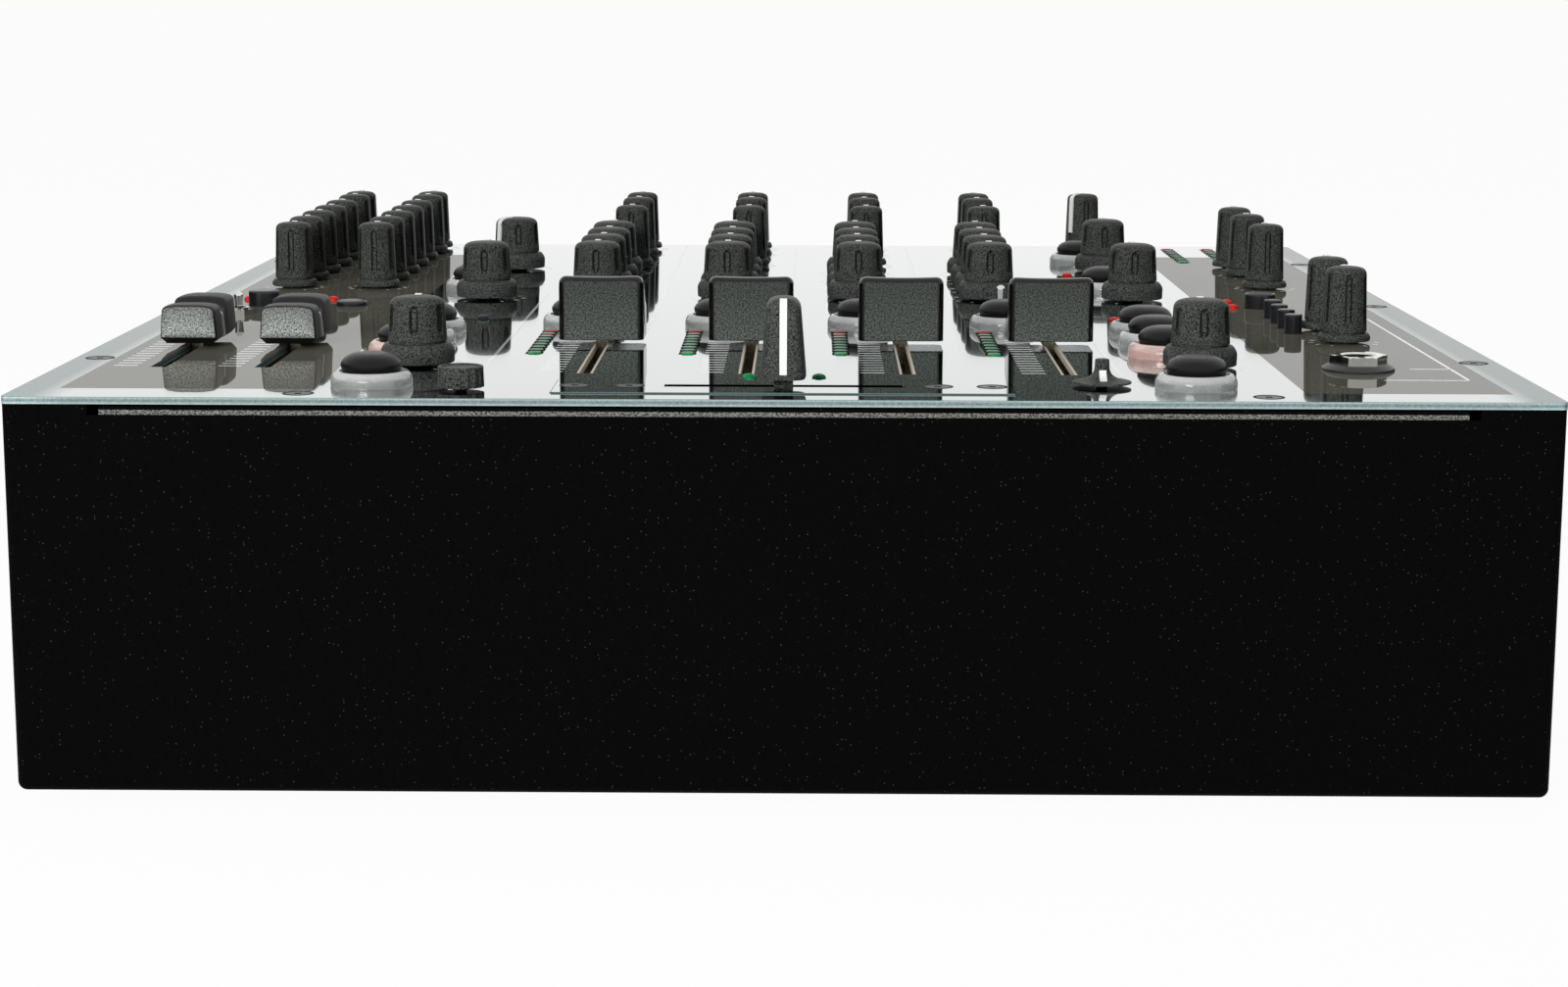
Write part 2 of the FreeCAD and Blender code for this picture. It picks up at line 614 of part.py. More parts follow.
def track(sweep):
    """A fader's metal housing round the room that its carriage sweeps; sweep(z0, z1, width, spare)."""
    ends = (CARRIAGE_LENGTH - STEM_LENGTH) / 2 + RUN_GAP
    shell = sweep(BOARD_TOP, UNDER, TRACK_WIDTH, ends + TRACK_WALL)
    room = sweep(BOARD_TOP + TRACK_WALL, UNDER - TRACK_WALL, TRACK_WIDTH - 2 * TRACK_WALL, ends)
    mouth = sweep(UNDER - 2 * TRACK_WALL, UNDER + 1, SLOT_WIDTH, RUN_GAP)
    return shell.cut(room).cut(mouth)


def fader_tracks():
    faders = list(channel_faders.values()) + list(mic_faders.values())
    tracks = [
        track(lambda z0, z1, width, spare, x=x, depth=depth: fader_slot(x, depth, z0, z1, width, spare))
        for x, depth in faders
    ]
    return tracks + [track(cross_slot)]


def carriage(x, y, along_x, stem_top):
    """The slider inside a track and the stem that stands out of the slot."""
    width = TRACK_WIDTH - 2 * TRACK_WALL - 2 * RUN_GAP
    size = (CARRIAGE_LENGTH, width) if along_x else (width, CARRIAGE_LENGTH)
    stem_size = (STEM_LENGTH, STEM_WIDTH) if along_x else (STEM_WIDTH, STEM_LENGTH)
    low = BOARD_TOP + TRACK_WALL + RUN_GAP
    slider = block(x, y, *size, low, low + CARRIAGE_HEIGHT)
    return slider.fuse(block(x, y, *stem_size, low + CARRIAGE_HEIGHT / 2, stem_top)).removeSplitter()


def fader(cap, x, y, along_x, grip):
    """A fader's two pieces: a cap bored for its stem, and the stem with its slider."""
    stem = carriage(x, y, along_x, grip)
    stem_size = (STEM_LENGTH, STEM_WIDTH) if along_x else (STEM_WIDTH, STEM_LENGTH)
    socket = block(x, y, stem_size[0] + 2 * FIT_GAP, stem_size[1] + 2 * FIT_GAP, TOP, grip + FIT_GAP)
    return [cap.cut(socket), stem]


def channel_fader(x, depth):
    """The broad cap: an upright face, a scooped back and a low rear lip."""
    width, length, height = CHANNEL_CAP
    y = at(depth + FADER_REST)
    low = TOP + CAP_GAP
    cap = block(x, y, width, length, low, low + height)
    cap = rounded(cap, CAP_EDGE, lambda edge: edge.CenterOfMass.y < y - length / 2 + 1e-6)
    brow = vec(x - width, y - length / 2 + CHANNEL_FACE, low + height)
    lip = vec(x - width, y + length / 2, low + CHANNEL_LIP)
    chord = lip - brow
    reach = math.sqrt(CHANNEL_SCOOP_R ** 2 - (chord.Length / 2) ** 2)
    axis = (brow + lip) * 0.5 + vec(0, -chord.z, chord.y).normalize() * reach
    scoop = Part.makeCylinder(CHANNEL_SCOOP_R, 2 * width, axis, vec(1, 0, 0))
    return fader(cap.cut(scoop), x, y, False, low + CHANNEL_LIP / 2)


def mic_fader(x, depth):
    """The long cap: two finger blocks with a waist between them."""
    width, length, height = MIC_CAP
    y = at(depth + MIC_REST)
    low = TOP + CAP_GAP
    cap = block(x, y, width, length, low, low + height)
    cap = rounded(cap, CAP_EDGE, lambda edge: edge.CenterOfMass.z > low + 1e-6)
    radius = (length / 4) ** 2 / (2 * MIC_WAIST) + MIC_WAIST / 2
    axis = vec(x - width, y, low + height - MIC_WAIST + radius)
    waist = Part.makeCylinder(radius, 2 * width, axis, vec(1, 0, 0))
    return fader(cap.cut(waist), x, y, False, low + height / 2)


def crossfader():
    """The tapered blade of the crossfader."""
    width, length, height = CROSS_CAP
    y = at(PLATE_DEPTH)
    low = TOP + PLATE_PROUD + CROSS_GAP
    half = width / 2
    half_top = CROSS_CAP_TOP / 2
    ring = [vec(-half, y - length / 2, low), vec(half, y - length / 2, low),
            vec(half_top, y - length / 2, low + height), vec(-half_top, y - length / 2, low + height)]
    blade = Part.Face(Part.makePolygon(ring + ring[:1])).extrude(vec(0, length, 0))
    blade = rounded(blade, CAP_EDGE, lambda edge: edge.CenterOfMass.z > low + 1e-6)
    return fader(blade, 0, y, True, low + height / 2)


def lit_button(x, depth):
    """A rubber dome on its plunger."""
    low = TOP + PRESS + RUN_GAP
    edge = TOP + RING_HEIGHT + 1
    radius = DOME_R
    rise = TOP + DOME_TOP - edge
    crown = (radius ** 2 + rise ** 2) / (2 * rise)
    y = at(depth)
    barrel = rod(x, y, low, TOP + DOME_TOP, radius)
    ball = Part.makeSphere(crown, vec(x, y, TOP + DOME_TOP - crown))
    plunger = rod(x, y, BOARD_TOP + SWITCH_HEIGHT + RUN_GAP + PRESS, low + 1, PLUNGER_R)
    return barrel.common(ball.fuse(rod(x, y, low, edge, radius + 1))).fuse(plunger).removeSplitter()


def plain_button(x, depth, radius, height):
    """A straight push button that stands out of its hole, on a thinner plunger."""
    y = at(depth)
    cap = rod(x, y, UNDER - BUTTON_SKIRT, TOP + height, radius)
    cap = rounded(cap, radius / 6, lambda edge: edge.CenterOfMass.z > TOP + height - 1e-6)
    foot = BOARD_TOP + SWITCH_HEIGHT + RUN_GAP + PRESS
    plunger = rod(x, y, foot, UNDER - BUTTON_SKIRT, radius * PLUNGER_SHARE)
    return cap.fuse(plunger).removeSplitter()


def button_rings():
    """The milky light rings that stand on the panel round the lit buttons."""
    rings = []
    for x, depth in lit_places:
        ring = rod(x, at(depth), TOP, TOP + RING_HEIGHT, RING_R)
        ring = rounded(ring, RING_HEIGHT / 4, lambda edge: edge.CenterOfMass.z > TOP + 1)
        rings.append(ring.cut(rod(x, at(depth), TOP - 1, TOP + RING_HEIGHT + 1, DOME_R + RUN_GAP)))
    return rings


def push_switches():
    """The switches on the board under every push button."""
    places = lit_places + round_places + small_places
    top = BOARD_TOP + SWITCH_HEIGHT
    return [block(x, at(depth), SWITCH_SIDE, SWITCH_SIDE, BOARD_TOP, top) for x, depth in places]


def toggle_bushes():
    """Each toggle's body with its bush, and the nut on the panel."""
    pieces = []
    for x, depth in toggle_places:
        y = at(depth)
        top = BOARD_TOP + TOGGLE_BODY_HEIGHT
        body = block(x, y, TOGGLE_BODY, TOGGLE_BODY, BOARD_TOP, top)
        bush = rod(x, y, top, TOP + TOGGLE_BUSH_TOP, TOGGLE_BUSH_R)
        bore = rod(x, y, top, TOP + TOGGLE_BUSH_TOP + 1, TOGGLE_BORE_R)
        nut = hexagon(x, y, TOP, TOP + TOGGLE_NUT_HEIGHT, TOGGLE_NUT)
        pieces.append(body.fuse(bush).cut(bore))
        pieces.append(nut.cut(rod(x, y, TOP - 1, TOP + TOGGLE_BUSH_TOP, TOGGLE_BUSH_R + FIT_GAP)))
    return pieces


def toggle_lever(x, depth):
    """A bat lever: a pivot ball in the bush and a stalk that swells to its tip."""
    y = at(depth)
    ball = Part.makeSphere(LEVER_BALL_R, vec(x, y, PIVOT_Z))
    stalk = cone(x, y, PIVOT_Z, TOP + LEVER_TOP - LEVER_TIP_R, LEVER_R, LEVER_TIP_R)
    tip = Part.makeSphere(LEVER_TIP_R, vec(x, y, TOP + LEVER_TOP - LEVER_TIP_R))
    return ball.fuse(stalk).fuse(tip).removeSplitter()


def indicator_lamps():
    """Light pipes from the board to the panel: meter cells and single lamps."""
    top = TOP + LAMP_PROUD
    cells = [block(x, at(depth), *METER_LAMP, BOARD_TOP, top) for x, depth in lamp_cells]
    return cells + [rod(x, at(depth), BOARD_TOP, top + LAMP_PROUD, LAMP_R) for x, depth in SINGLE_LAMPS]


def headphone_socket():
    """The jack body under the panel, its collar and its nut."""
    x = JACK_PLACE[0]
    y = at(JACK_PLACE[1])
    collar_top = TOP + JACK_COLLAR_HEIGHT
    nut_top = collar_top + JACK_NUT_HEIGHT
    thread_r = JACK_NUT / 2 - 1
    bore = rod(x, y, BOARD_TOP + JACK_FLOOR, nut_top + 1, JACK_R)
    body = block(x, y, JACK_BODY, JACK_BODY, BOARD_TOP, UNDER)
    thread = rod(x, y, UNDER, nut_top, thread_r)
    room = rod(x, y, TOP - 1, nut_top + 1, thread_r + FIT_GAP)
    collar = rounded(rod(x, y, TOP, collar_top, JACK_COLLAR_R), JACK_COLLAR_HEIGHT / 2,
                     lambda edge: edge.CenterOfMass.z > TOP + JACK_COLLAR_HEIGHT / 2)
    nut = hexagon(x, y, collar_top, nut_top, JACK_NUT)
    return [body.fuse(thread).cut(bore), collar.cut(room), nut.cut(room)]


def rear_panel():
    """The socket panel: a plate with a top lip, a window for the phono sockets and a
    hole for every other one."""
    half = WIDTH / 2 - WALL
    lip_half = WIDTH / 2 - SIDE_FLANGE - RUN_GAP
    plate = box(-half, half, BACK - WALL, BACK, FLOOR, UNDER - WALL)
    lip = box(-lip_half, lip_half, BACK - REAR_LIP, BACK, UNDER - WALL, UNDER)
    y0 = BACK - WALL - 1
    y1 = BACK + 1
    window = (phono_block[0] * PHONO_COLUMNS, phono_block[1] * len(PHONO_ROWS))
    shell_side = 2 * (XLR_SHELL_R + FIT_GAP)
    cuts = [rear_block(*phono_middle, *window, y0, y1)]
    cuts += [rear_rod(x, z, y0, y1, JACK_R + WALL + FIT_GAP) for x, z in jack_places]
    cuts += [rear_block(x, z, shell_side, shell_side, y0, y1) for x, z in xlr_places]
    cuts += [rear_block(*inlet_place, *inlet_body, y0, y1)]
    cuts += [rear_block(*switch_place, *switch_body, y0, y1)]
    cuts += [rod(x, at(depth), FLOOR, TOP, SCREW_R + FIT_GAP) for x, depth in panel_screws]
    return cut_all(plate.fuse(lip).removeSplitter(), cuts)


def phono_socket(x, z):
    """A phono socket: its block in the panel's window and the barrel that the plug grips."""
    body = rear_block(x, z, *phono_block, BACK - PHONO_BLOCK_DEPTH, BACK)
    barrel = rear_rod(x, z, BACK, BACK + SOCKET_REACH, PHONO_R)
    pin = rear_rod(x, z, BACK - WALL, BACK + SOCKET_REACH + 1, PHONO_PIN_R)
    return body.fuse(barrel).cut(pin)


def line_jack(x, z):
    """A rear jack socket: body, threaded neck and round nut, bored for the plug."""
    inner = BACK - WALL
    body = rear_block(x, z, LINE_BODY, LINE_BODY, inner - LINE_BODY_DEPTH, inner)
    neck = rear_rod(x, z, inner, BACK, JACK_R + WALL)
    nut = rear_rod(x, z, BACK, BACK + LINE_NUT_REACH, LINE_NUT_R)
    bore = rear_rod(x, z, inner - LINE_BODY_DEPTH + JACK_FLOOR, BACK + LINE_NUT_REACH + 1, JACK_R)
    return body.fuse(neck).fuse(nut).cut(bore)


def xlr_socket(x, z):
    """An output connector: a face plate, a round shell with a recess, and three pins."""
    width, height = XLR_FACE
    face = rear_block(x, z, width, height, BACK, BACK + XLR_FACE_THICK)
    face = rounded(face, XLR_FACE_THICK, lambda edge: edge.BoundBox.YLength > XLR_FACE_THICK / 2)
    shell = rear_rod(x, z, BACK - XLR_SHELL_DEPTH, BACK, XLR_SHELL_R)
    mouth = BACK + XLR_FACE_THICK
    floor = mouth - XLR_RECESS_DEPTH
    recess = rear_rod(x, z, floor, mouth + 1, XLR_RECESS_R)
    pieces = [face.fuse(shell).cut(recess)]
    for angle in (90, 210, 330):
        px = x + XLR_PIN_CIRCLE * math.cos(math.radians(angle))
        pz = z + XLR_PIN_CIRCLE * math.sin(math.radians(angle))
        pieces.append(rear_rod(px, pz, floor, floor + XLR_PIN_LENGTH, XLR_PIN_R))
    return pieces


def mains_inlet():
    """The mains inlet with its three pins, and the power switch's frame."""
    x, z = inlet_place
    floor = BACK - INLET_RECESS_DEPTH
    mouth = BACK + INLET_WALL
    shell_size = [side - 2 * FIT_GAP for side in inlet_body]
    face = rear_block(x, z, *INLET_FACE, BACK, mouth)
    shell = rear_block(x, z, *shell_size, floor - INLET_WALL, BACK)
    recess = rear_block(x, z, *INLET_RECESS, floor, mouth + 1)
    pin_width, pin_height, pin_length = INLET_PIN
    pins = [
        rear_block(x + dx, z + dz, pin_width, pin_height, floor, floor + pin_length)
        for dx, dz in INLET_PIN_PLACES
    ]
    sx, sz = switch_place
    case_size = [side - 2 * FIT_GAP for side in switch_body]
    frame = rear_block(sx, sz, *SWITCH_FACE, BACK, mouth)
    case = rear_block(sx, sz, *case_size, BACK - SWITCH_DEPTH, BACK)
    room = rear_block(sx, sz, *SWITCH_OPENING, BACK - SWITCH_DEPTH + INLET_WALL, mouth + 1)
    return [face.fuse(shell).cut(recess)] + pins + [frame.fuse(case).cut(room)]


def power_rocker():
    """The rocker: a wedge-faced paddle that tips about a pin across its middle."""
    x, z = switch_place
    width = SWITCH_OPENING[0] - 2 * RUN_GAP
    half = SWITCH_OPENING[1] / 2 - ROCKER_END_GAP
    x0 = x - width / 2
    back = BACK - ROCKER_DEPTH
    middle = BACK + ROCKER_PROUD / 2
    ring = [vec(x0, back, z - half), vec(x0, BACK + ROCKER_PROUD, z - half), vec(x0, middle, z),
            vec(x0, BACK + ROCKER_PROUD, z + half), vec(x0, back, z + half)]
    return Part.Face(Part.makePolygon(ring + ring[:1])).extrude(vec(width, 0, 0))


def power_supply():
    """The mains transformer under its bolted plate, and the supply board on posts."""
    x = TOROID_PLACE[0]
    y = at(TOROID_PLACE[1])
    top = FLOOR + TOROID_HEIGHT
    coil = rounded(rod(x, y, FLOOR, top, TOROID_R), TOROID_HEIGHT / 4, lambda edge: True)
    coil = coil.cut(rod(x, y, FLOOR - 1, top + 1, TOROID_HOLE_R))
    plate = rod(x, y, top, top + TOROID_PLATE, TOROID_PLATE_R)
    bolt = rod(x, y, FLOOR, top + TOROID_PLATE + TOROID_BOLT_R, TOROID_BOLT_R)
    head = hexagon(x, y, top + TOROID_PLATE, top + TOROID_PLATE + TOROID_BOLT_R, 4 * TOROID_BOLT_R)
    plate = plate.cut(rod(x, y, top - 1, top + TOROID_PLATE + 1, TOROID_BOLT_R))
    width, length = SUPPLY_BOARD
    bx = SUPPLY_PLACE[0]
    by = at(SUPPLY_PLACE[1])
    deck = FLOOR + SUPPLY_POST_HEIGHT
    board = block(bx, by, width, length, deck, deck + BOARD)
    dx = width / 2 - SUPPLY_POST_INSET
    dy = length / 2 - SUPPLY_POST_INSET
    corners = [(bx + sx * dx, by + sy * dy) for sx in (-1, 1) for sy in (-1, 1)]
    posts = [rod(px, py, FLOOR, deck, SUPPLY_POST_R) for px, py in corners]
    return [coil, plate, bolt.fuse(head), board] + posts


os.makedirs("parts", exist_ok=True)
save("base_tray", [base_tray()])
save("feet", feet())
save("rear_panel", [rear_panel()])
save("top_panel", [top_panel()])
save("crossfader_plate", [crossfader_plate()])
save("control_board", [control_board()])
save("power_supply", power_supply())
pots = [potentiometer(x, depth, SHAFT_R) for x, depth in shaft_places]
pots += [potentiometer(x, depth, SMALL_SHAFT_R) for x, depth in small_shaft_places]
save("board_controls", pots + push_switches())
save("fader_tracks", fader_tracks())
save("toggle_bushes", toggle_bushes())
save("toggle_levers", [toggle_lever(*place) for place in channel_toggles])
save("mic_toggle_lever", [toggle_lever(*MIC_TOGGLE)])
save("button_rings", button_rings())
save("indicator_lamps", indicator_lamps())
save("headphone_socket", headphone_socket())
save("rear_sockets", [phono_socket(*p) for p in phono_places] + [line_jack(*p) for p in jack_places])
save("xlr_sockets", [piece for p in xlr_places for piece in xlr_socket(*p)])
save("mains_inlet", mains_inlet())
save("power_rocker", [power_rocker()])
panel_fixings = [screw(x, depth, TOP) for x, depth in panel_screws]
save("screws", panel_fixings + [screw(x, depth, TOP + PLATE_PROUD) for x, depth in plate_screws])
save("level_knobs", [piece for place in level_places for piece in tall_knob(*place)])
for name, place in wide_knobs.items():
    save(name, wide_knob(*place))
for name, place in master_knobs.items():
    save(name, tall_knob(*place))
save("curve_knob", curve_knob())
save("selector_knob", selector_knob())
for name, place in channel_faders.items():
    save(name, channel_fader(*place))
for name, place in mic_faders.items():
    save(name, mic_fader(*place))
save("crossfader", crossfader())
for name, places in lit_buttons.items():
    save(name, [lit_button(*place) for place in places])
save("round_buttons", [plain_button(*place, ROUND_BUTTON_R, ROUND_BUTTON_TOP) for place in round_places])
save("small_buttons", [plain_button(*place, SMALL_BUTTON_R, SMALL_BUTTON_TOP) for place in small_places])
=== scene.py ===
# %% [markdown]
# # A four-channel club mixer
# The imported CAD model is the frame: every size and every moving body comes from it.
# This lesson dresses that frame. Shapes that the eye studies closely, such as knobs, fader
# caps, rubber domes and lamps, are rebuilt as finer surfaces, and everything else keeps its
# CAD mesh and gets a finish. First the frame is loaded.

import math

import bpy
import numpy as np
from mathutils import Matrix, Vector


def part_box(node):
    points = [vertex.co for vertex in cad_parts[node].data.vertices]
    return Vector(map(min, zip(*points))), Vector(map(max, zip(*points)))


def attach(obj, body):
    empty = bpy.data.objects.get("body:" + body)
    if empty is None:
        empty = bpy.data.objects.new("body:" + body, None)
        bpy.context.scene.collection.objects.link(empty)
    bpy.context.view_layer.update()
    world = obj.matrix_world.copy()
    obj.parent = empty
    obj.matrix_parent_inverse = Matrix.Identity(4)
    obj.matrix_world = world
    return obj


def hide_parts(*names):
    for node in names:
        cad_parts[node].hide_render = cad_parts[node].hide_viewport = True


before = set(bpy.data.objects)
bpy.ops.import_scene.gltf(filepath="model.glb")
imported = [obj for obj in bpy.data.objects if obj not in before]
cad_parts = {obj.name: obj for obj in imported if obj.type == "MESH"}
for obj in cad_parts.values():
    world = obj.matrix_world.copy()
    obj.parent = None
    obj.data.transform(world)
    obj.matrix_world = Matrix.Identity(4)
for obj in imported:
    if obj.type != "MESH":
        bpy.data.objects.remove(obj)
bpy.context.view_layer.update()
MM = 0.001


def span(name):
    """Low and high corner of a CAD node, in millimetres."""
    return [np.array(corner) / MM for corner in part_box(name)]


panel_low, panel_high = span("top_panel")
DECK = panel_high[2]
FRONT = panel_low[1]
print("deck", round(DECK, 2), "front edge", round(FRONT, 2), "nodes", len(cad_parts))

# %% [markdown]
# Many CAD nodes hold several solids, such as all the light rings. Typing their places again
# would invite mistakes, so they are measured: corners that coincide are merged, and the
# lowest corner number spreads over the triangles until every solid carries one number.

# %% Find the separate solids in a CAD node


def solids(name):
    """Each solid of a node as (low corner, high corner, points, triangles), in millimetres."""
    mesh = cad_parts[name].data
    points = np.empty(3 * len(mesh.vertices))
    mesh.vertices.foreach_get("co", points)
    loops = np.empty(len(mesh.loops), int)
    mesh.loops.foreach_get("vertex_index", loops)
    points, number = np.unique(np.round(points.reshape(-1, 3) / MM, 3), axis=0, return_inverse=True)
    triangles = number.ravel()[loops].reshape(-1, 3)
    label = np.arange(len(points))
    while True:
        fresh = label.copy()
        np.minimum.at(fresh, triangles, label[triangles].min(axis=1)[:, None])
        fresh = fresh[fresh]
        if (fresh == label).all():
            break
        label = fresh
    found = []
    for root in np.unique(label):
        mine = label == root
        renumber = np.cumsum(mine) - 1
        corners = points[mine]
        faces = renumber[triangles[label[triangles[:, 0]] == root]]
        found.append((corners.min(axis=0), corners.max(axis=0), corners, faces))
    return found


def middles(found):
    """The x, y middle of each solid, with the deck's height as z."""
    return np.array([[*(low + high)[:2] / 2, DECK] for low, high, _, _ in found])


def seat(name, lift=0.0):
    """The one place where a node's middle stands on the deck, raised by a lift."""
    low, high = span(name)
    return np.array([[*(low + high)[:2] / 2, DECK + lift]])


print("solids in the ring node:", len(solids("button_rings")))

# %% [markdown]
# Nearly every new shape here is a stack of rings: a turned knob, a moulded cap, a lens. A
# *profile* says how the ring changes from one end to the other, and *skin* lays quads between
# neighbouring rings. Real mouldings have no knife edges, so *soften* rounds the profile first.

# %% Shape helpers


def soften(points, radii, steps=5):
    """A profile with rounded corners: near corner c, from a to b a radius away on each side,
    it follows (1-t)^2 a + 2t(1-t) c + t^2 b."""
    points = np.asarray(points, float)
    t = np.linspace(0, 1, steps)[:, None]
    rows = []
    for k, radius in enumerate(radii):
        corner = points[k]
        if radius:
            back = points[k - 1] - corner
            ahead = points[(k + 1) % len(points)] - corner
            a = corner + back * radius / np.linalg.norm(back)
            b = corner + ahead * radius / np.linalg.norm(ahead)
            rows.append((1 - t) ** 2 * a + 2 * t * (1 - t) * corner + t**2 * b)
        else:
            rows.append(corner[None])
    return np.concatenate(rows)


def refine(profile, step):
    """The same profile with extra points, so that none is further than step from the next."""
    gaps = np.linalg.norm(np.diff(profile, axis=0), axis=1)
    run = np.r_[0, np.cumsum(gaps)]
    counts = np.maximum(1, np.ceil(gaps / step)).astype(int)
    pieces = [np.linspace(a, b, n, endpoint=False) for a, b, n in zip(run[:-1], run[1:], counts)]
    stops = np.r_[np.concatenate(pieces), run[-1]]
    return np.stack([np.interp(stops, run, profile[:, k]) for k in (0, 1)], axis=1)


def ringed(r, z, angles):
    """Rings of points (r cos a, r sin a, z), where r may change with the angle a."""
    return np.stack([r * np.cos(angles), r * np.sin(angles), z + 0 * angles], axis=-1)


def turned(profile, angles):
    """Rings of a turned shape: a circle for each (r, z) of its profile."""
    r, z = np.asarray(profile, float).T[:, :, None]
    return ringed(r, z, angles)


def superellipse(angles, power):
    """A rounded square: x and y are the cosine and sine of a, to a power, with their signs kept."""
    circle = np.stack([np.cos(angles), np.sin(angles)], axis=-1)
    return np.sign(circle) * np.abs(circle) ** power


def skin(rings, loop=False):
    """Quads from each ring to the next. An open stack is closed by a fan at each end, and a
    loop joins its last ring to its first."""
    count, around = rings.shape[:2]
    index = np.arange(count * around).reshape(count, around)
    beside = np.roll(index, -1, axis=1)
    rows = np.arange(count if loop else count - 1)
    after = (rows + 1) % count
    quads = np.stack([index[rows], beside[rows], beside[after], index[after]], axis=-1).reshape(-1, 4)
    points = rings.reshape(-1, 3)
    if loop:
        return points, [quads]
    ends = rings[[0, -1]].mean(axis=1)
    first = np.full(around, count * around)
    low = np.stack([beside[0], index[0], first], axis=-1)
    high = np.stack([index[-1], beside[-1], first + 1], axis=-1)
    return np.concatenate([points, ends]), [quads, low, high]


def copies(shape, places):
    """One shape set down at every place: its points move there, its face numbers go on."""
    points, faces = shape
    places = np.asarray(places, float)
    moved = (points[None] + places[:, None]).reshape(-1, 3)
    lift = len(points) * np.arange(len(places))[:, None, None]
    return moved, [(part[None] + lift).reshape(-1, part.shape[1]) for part in faces]


def spun(shape, degrees):
    """The same shape turned about z."""
    points, faces = shape
    c, s = math.cos(math.radians(degrees)), math.sin(math.radians(degrees))
    return points @ np.array([[c, s, 0], [-s, c, 0], [0, 0, 1]]), faces


def joined(shapes):
    """Several shapes as one."""
    lifts = np.cumsum([0] + [len(points) for points, _ in shapes])
    faces = [part + lift for (_, parts), lift in zip(shapes, lifts) for part in parts]
    return np.concatenate([points for points, _ in shapes]), faces


def slabs(low, high):
    """Upright boxes: every corner takes each of its numbers from the low or the high corner."""
    low, high = np.atleast_2d(low).astype(float), np.atleast_2d(high).astype(float)
    pick = np.array([(x, y, z) for z in (0, 1) for x, y in ((0, 0), (1, 0), (1, 1), (0, 1))])
    side = np.array([[0, 3, 2, 1], [4, 5, 6, 7], [0, 1, 5, 4], [1, 2, 6, 5], [2, 3, 7, 6], [3, 0, 4, 7]])
    points = low[:, None] + (high - low)[:, None] * pick
    faces = side[None] + len(pick) * np.arange(len(low))[:, None, None]
    return points.reshape(-1, 3), [faces.reshape(-1, 4)]


ROUND = np.linspace(0, 2 * np.pi, 64, endpoint=False)
COARSE_ROUND = np.linspace(0, 2 * np.pi, 24, endpoint=False)


def piece(name, shape, finish, body, stands_for=(), crease=38, groove_shade=None):
    """A shape in millimetres as a finished object that rides on a body. It may carry the
    attribute of painted groove shade, which repeats for every copy in the shape."""
    points, faces = shape
    mesh = bpy.data.meshes.new(name)
    rows = [row for part in faces for row in part.tolist()]
    mesh.from_pydata((points * MM).tolist(), [], rows)
    mesh.polygons.foreach_set("use_smooth", np.ones(len(rows), bool))
    mesh.set_sharp_from_angle(angle=math.radians(crease))
    mesh.materials.append(finish)
    if groove_shade is not None:
        values = np.tile(groove_shade, len(points) // len(groove_shade))
        mesh.attributes.new(GROOVE_SHADE, "FLOAT", "POINT").data.foreach_set("value", values)
    made = bpy.data.objects.new(name, mesh)
    bpy.context.scene.collection.objects.link(made)
    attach(made, body)
    if stands_for:
        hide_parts(*stands_for)
    return made


# %% [markdown]
# A finish is a Principled shader and a few pattern nodes. Constant numbers go straight on
# its sockets. Colours are written as sRGB hex and turned to linear light, and a pattern's
# scale is one over its real size in metres, because Object coordinates are metres. No real
# material is one flat colour, so most finishes start *clouded*, between two near tones.

# %% Finish helpers


def paint(code):
    """An sRGB hex colour as linear RGBA: c/12.92 near black, else ((c+0.055)/1.055)^2.4."""
    c = np.array([int(code[k : k + 2], 16) for k in (1, 3, 5)]) / 255
    linear = np.where(c <= 0.04045, c / 12.92, ((c + 0.055) / 1.055) ** 2.4)
    return (*linear, 1.0)


def per_metre(size_mm):
    """The texture scale that gives features of this size."""
    return 1000 / size_mm


def new_finish(name, **constants):
    """A material with one Principled shader whose sockets hold these constants."""
    made = bpy.data.materials.new(name)
    made.use_nodes = True
    shader = made.node_tree.nodes["Principled BSDF"]
    for socket, value in constants.items():
        shader.inputs[socket.replace("_", " ")].default_value = value
    return made, shader


def add(made, kind, settings=None, sockets=None):
    """One node with its settings, and its sockets as constants or links."""
    tree = made.node_tree
    node = tree.nodes.new(kind)
    for key, value in (settings or {}).items():
        setattr(node, key, value)
    for key, value in (sockets or {}).items():
        if isinstance(value, bpy.types.NodeSocket):
            tree.links.new(value, node.inputs[key])
        else:
            node.inputs[key].default_value = value
    return node


def link(made, source, target):
    """Join an output to an input."""
    made.node_tree.links.new(source, target)


def clouded(name, dark, pale, size_mm, detail, wear=None, **constants):
    """A finish whose colour drifts between two tones in patches of one size. If wear is (w, r),
    its roughness is w times the same noise, plus r."""
    made, shader = new_finish(name, **constants)
    where = add(made, "ShaderNodeTexCoord").outputs["Object"]
    cloud = add(made, "ShaderNodeTexNoise", None,
                {"Vector": where, "Scale": per_metre(size_mm), "Detail": detail})
    tone = add(made, "ShaderNodeMix", {"data_type": "RGBA"},
               {0: cloud.outputs[0], 6: paint(dark), 7: paint(pale)})
    link(made, tone.outputs[2], shader.inputs["Base Color"])
    if wear:
        worn = add(made, "ShaderNodeMath", {"operation": "MULTIPLY_ADD"},
                   {0: cloud.outputs[0], 1: wear[0], 2: wear[1]})
        link(made, worn.outputs[0], shader.inputs["Roughness"])
    return made


# %% [markdown]
# The camera stands low in front of the mixer and looks slightly down on it, as a buyer
# bends to see across the panel. Its place and turn were fitted to the picture's own
# perspective, so the frame needs no shift.

# %% Camera
LENS = 66.94
EYE = (0.0058, -0.7719, 0.1712)
TURN, TILT, ROLL = 0.53, -9.89, -0.16

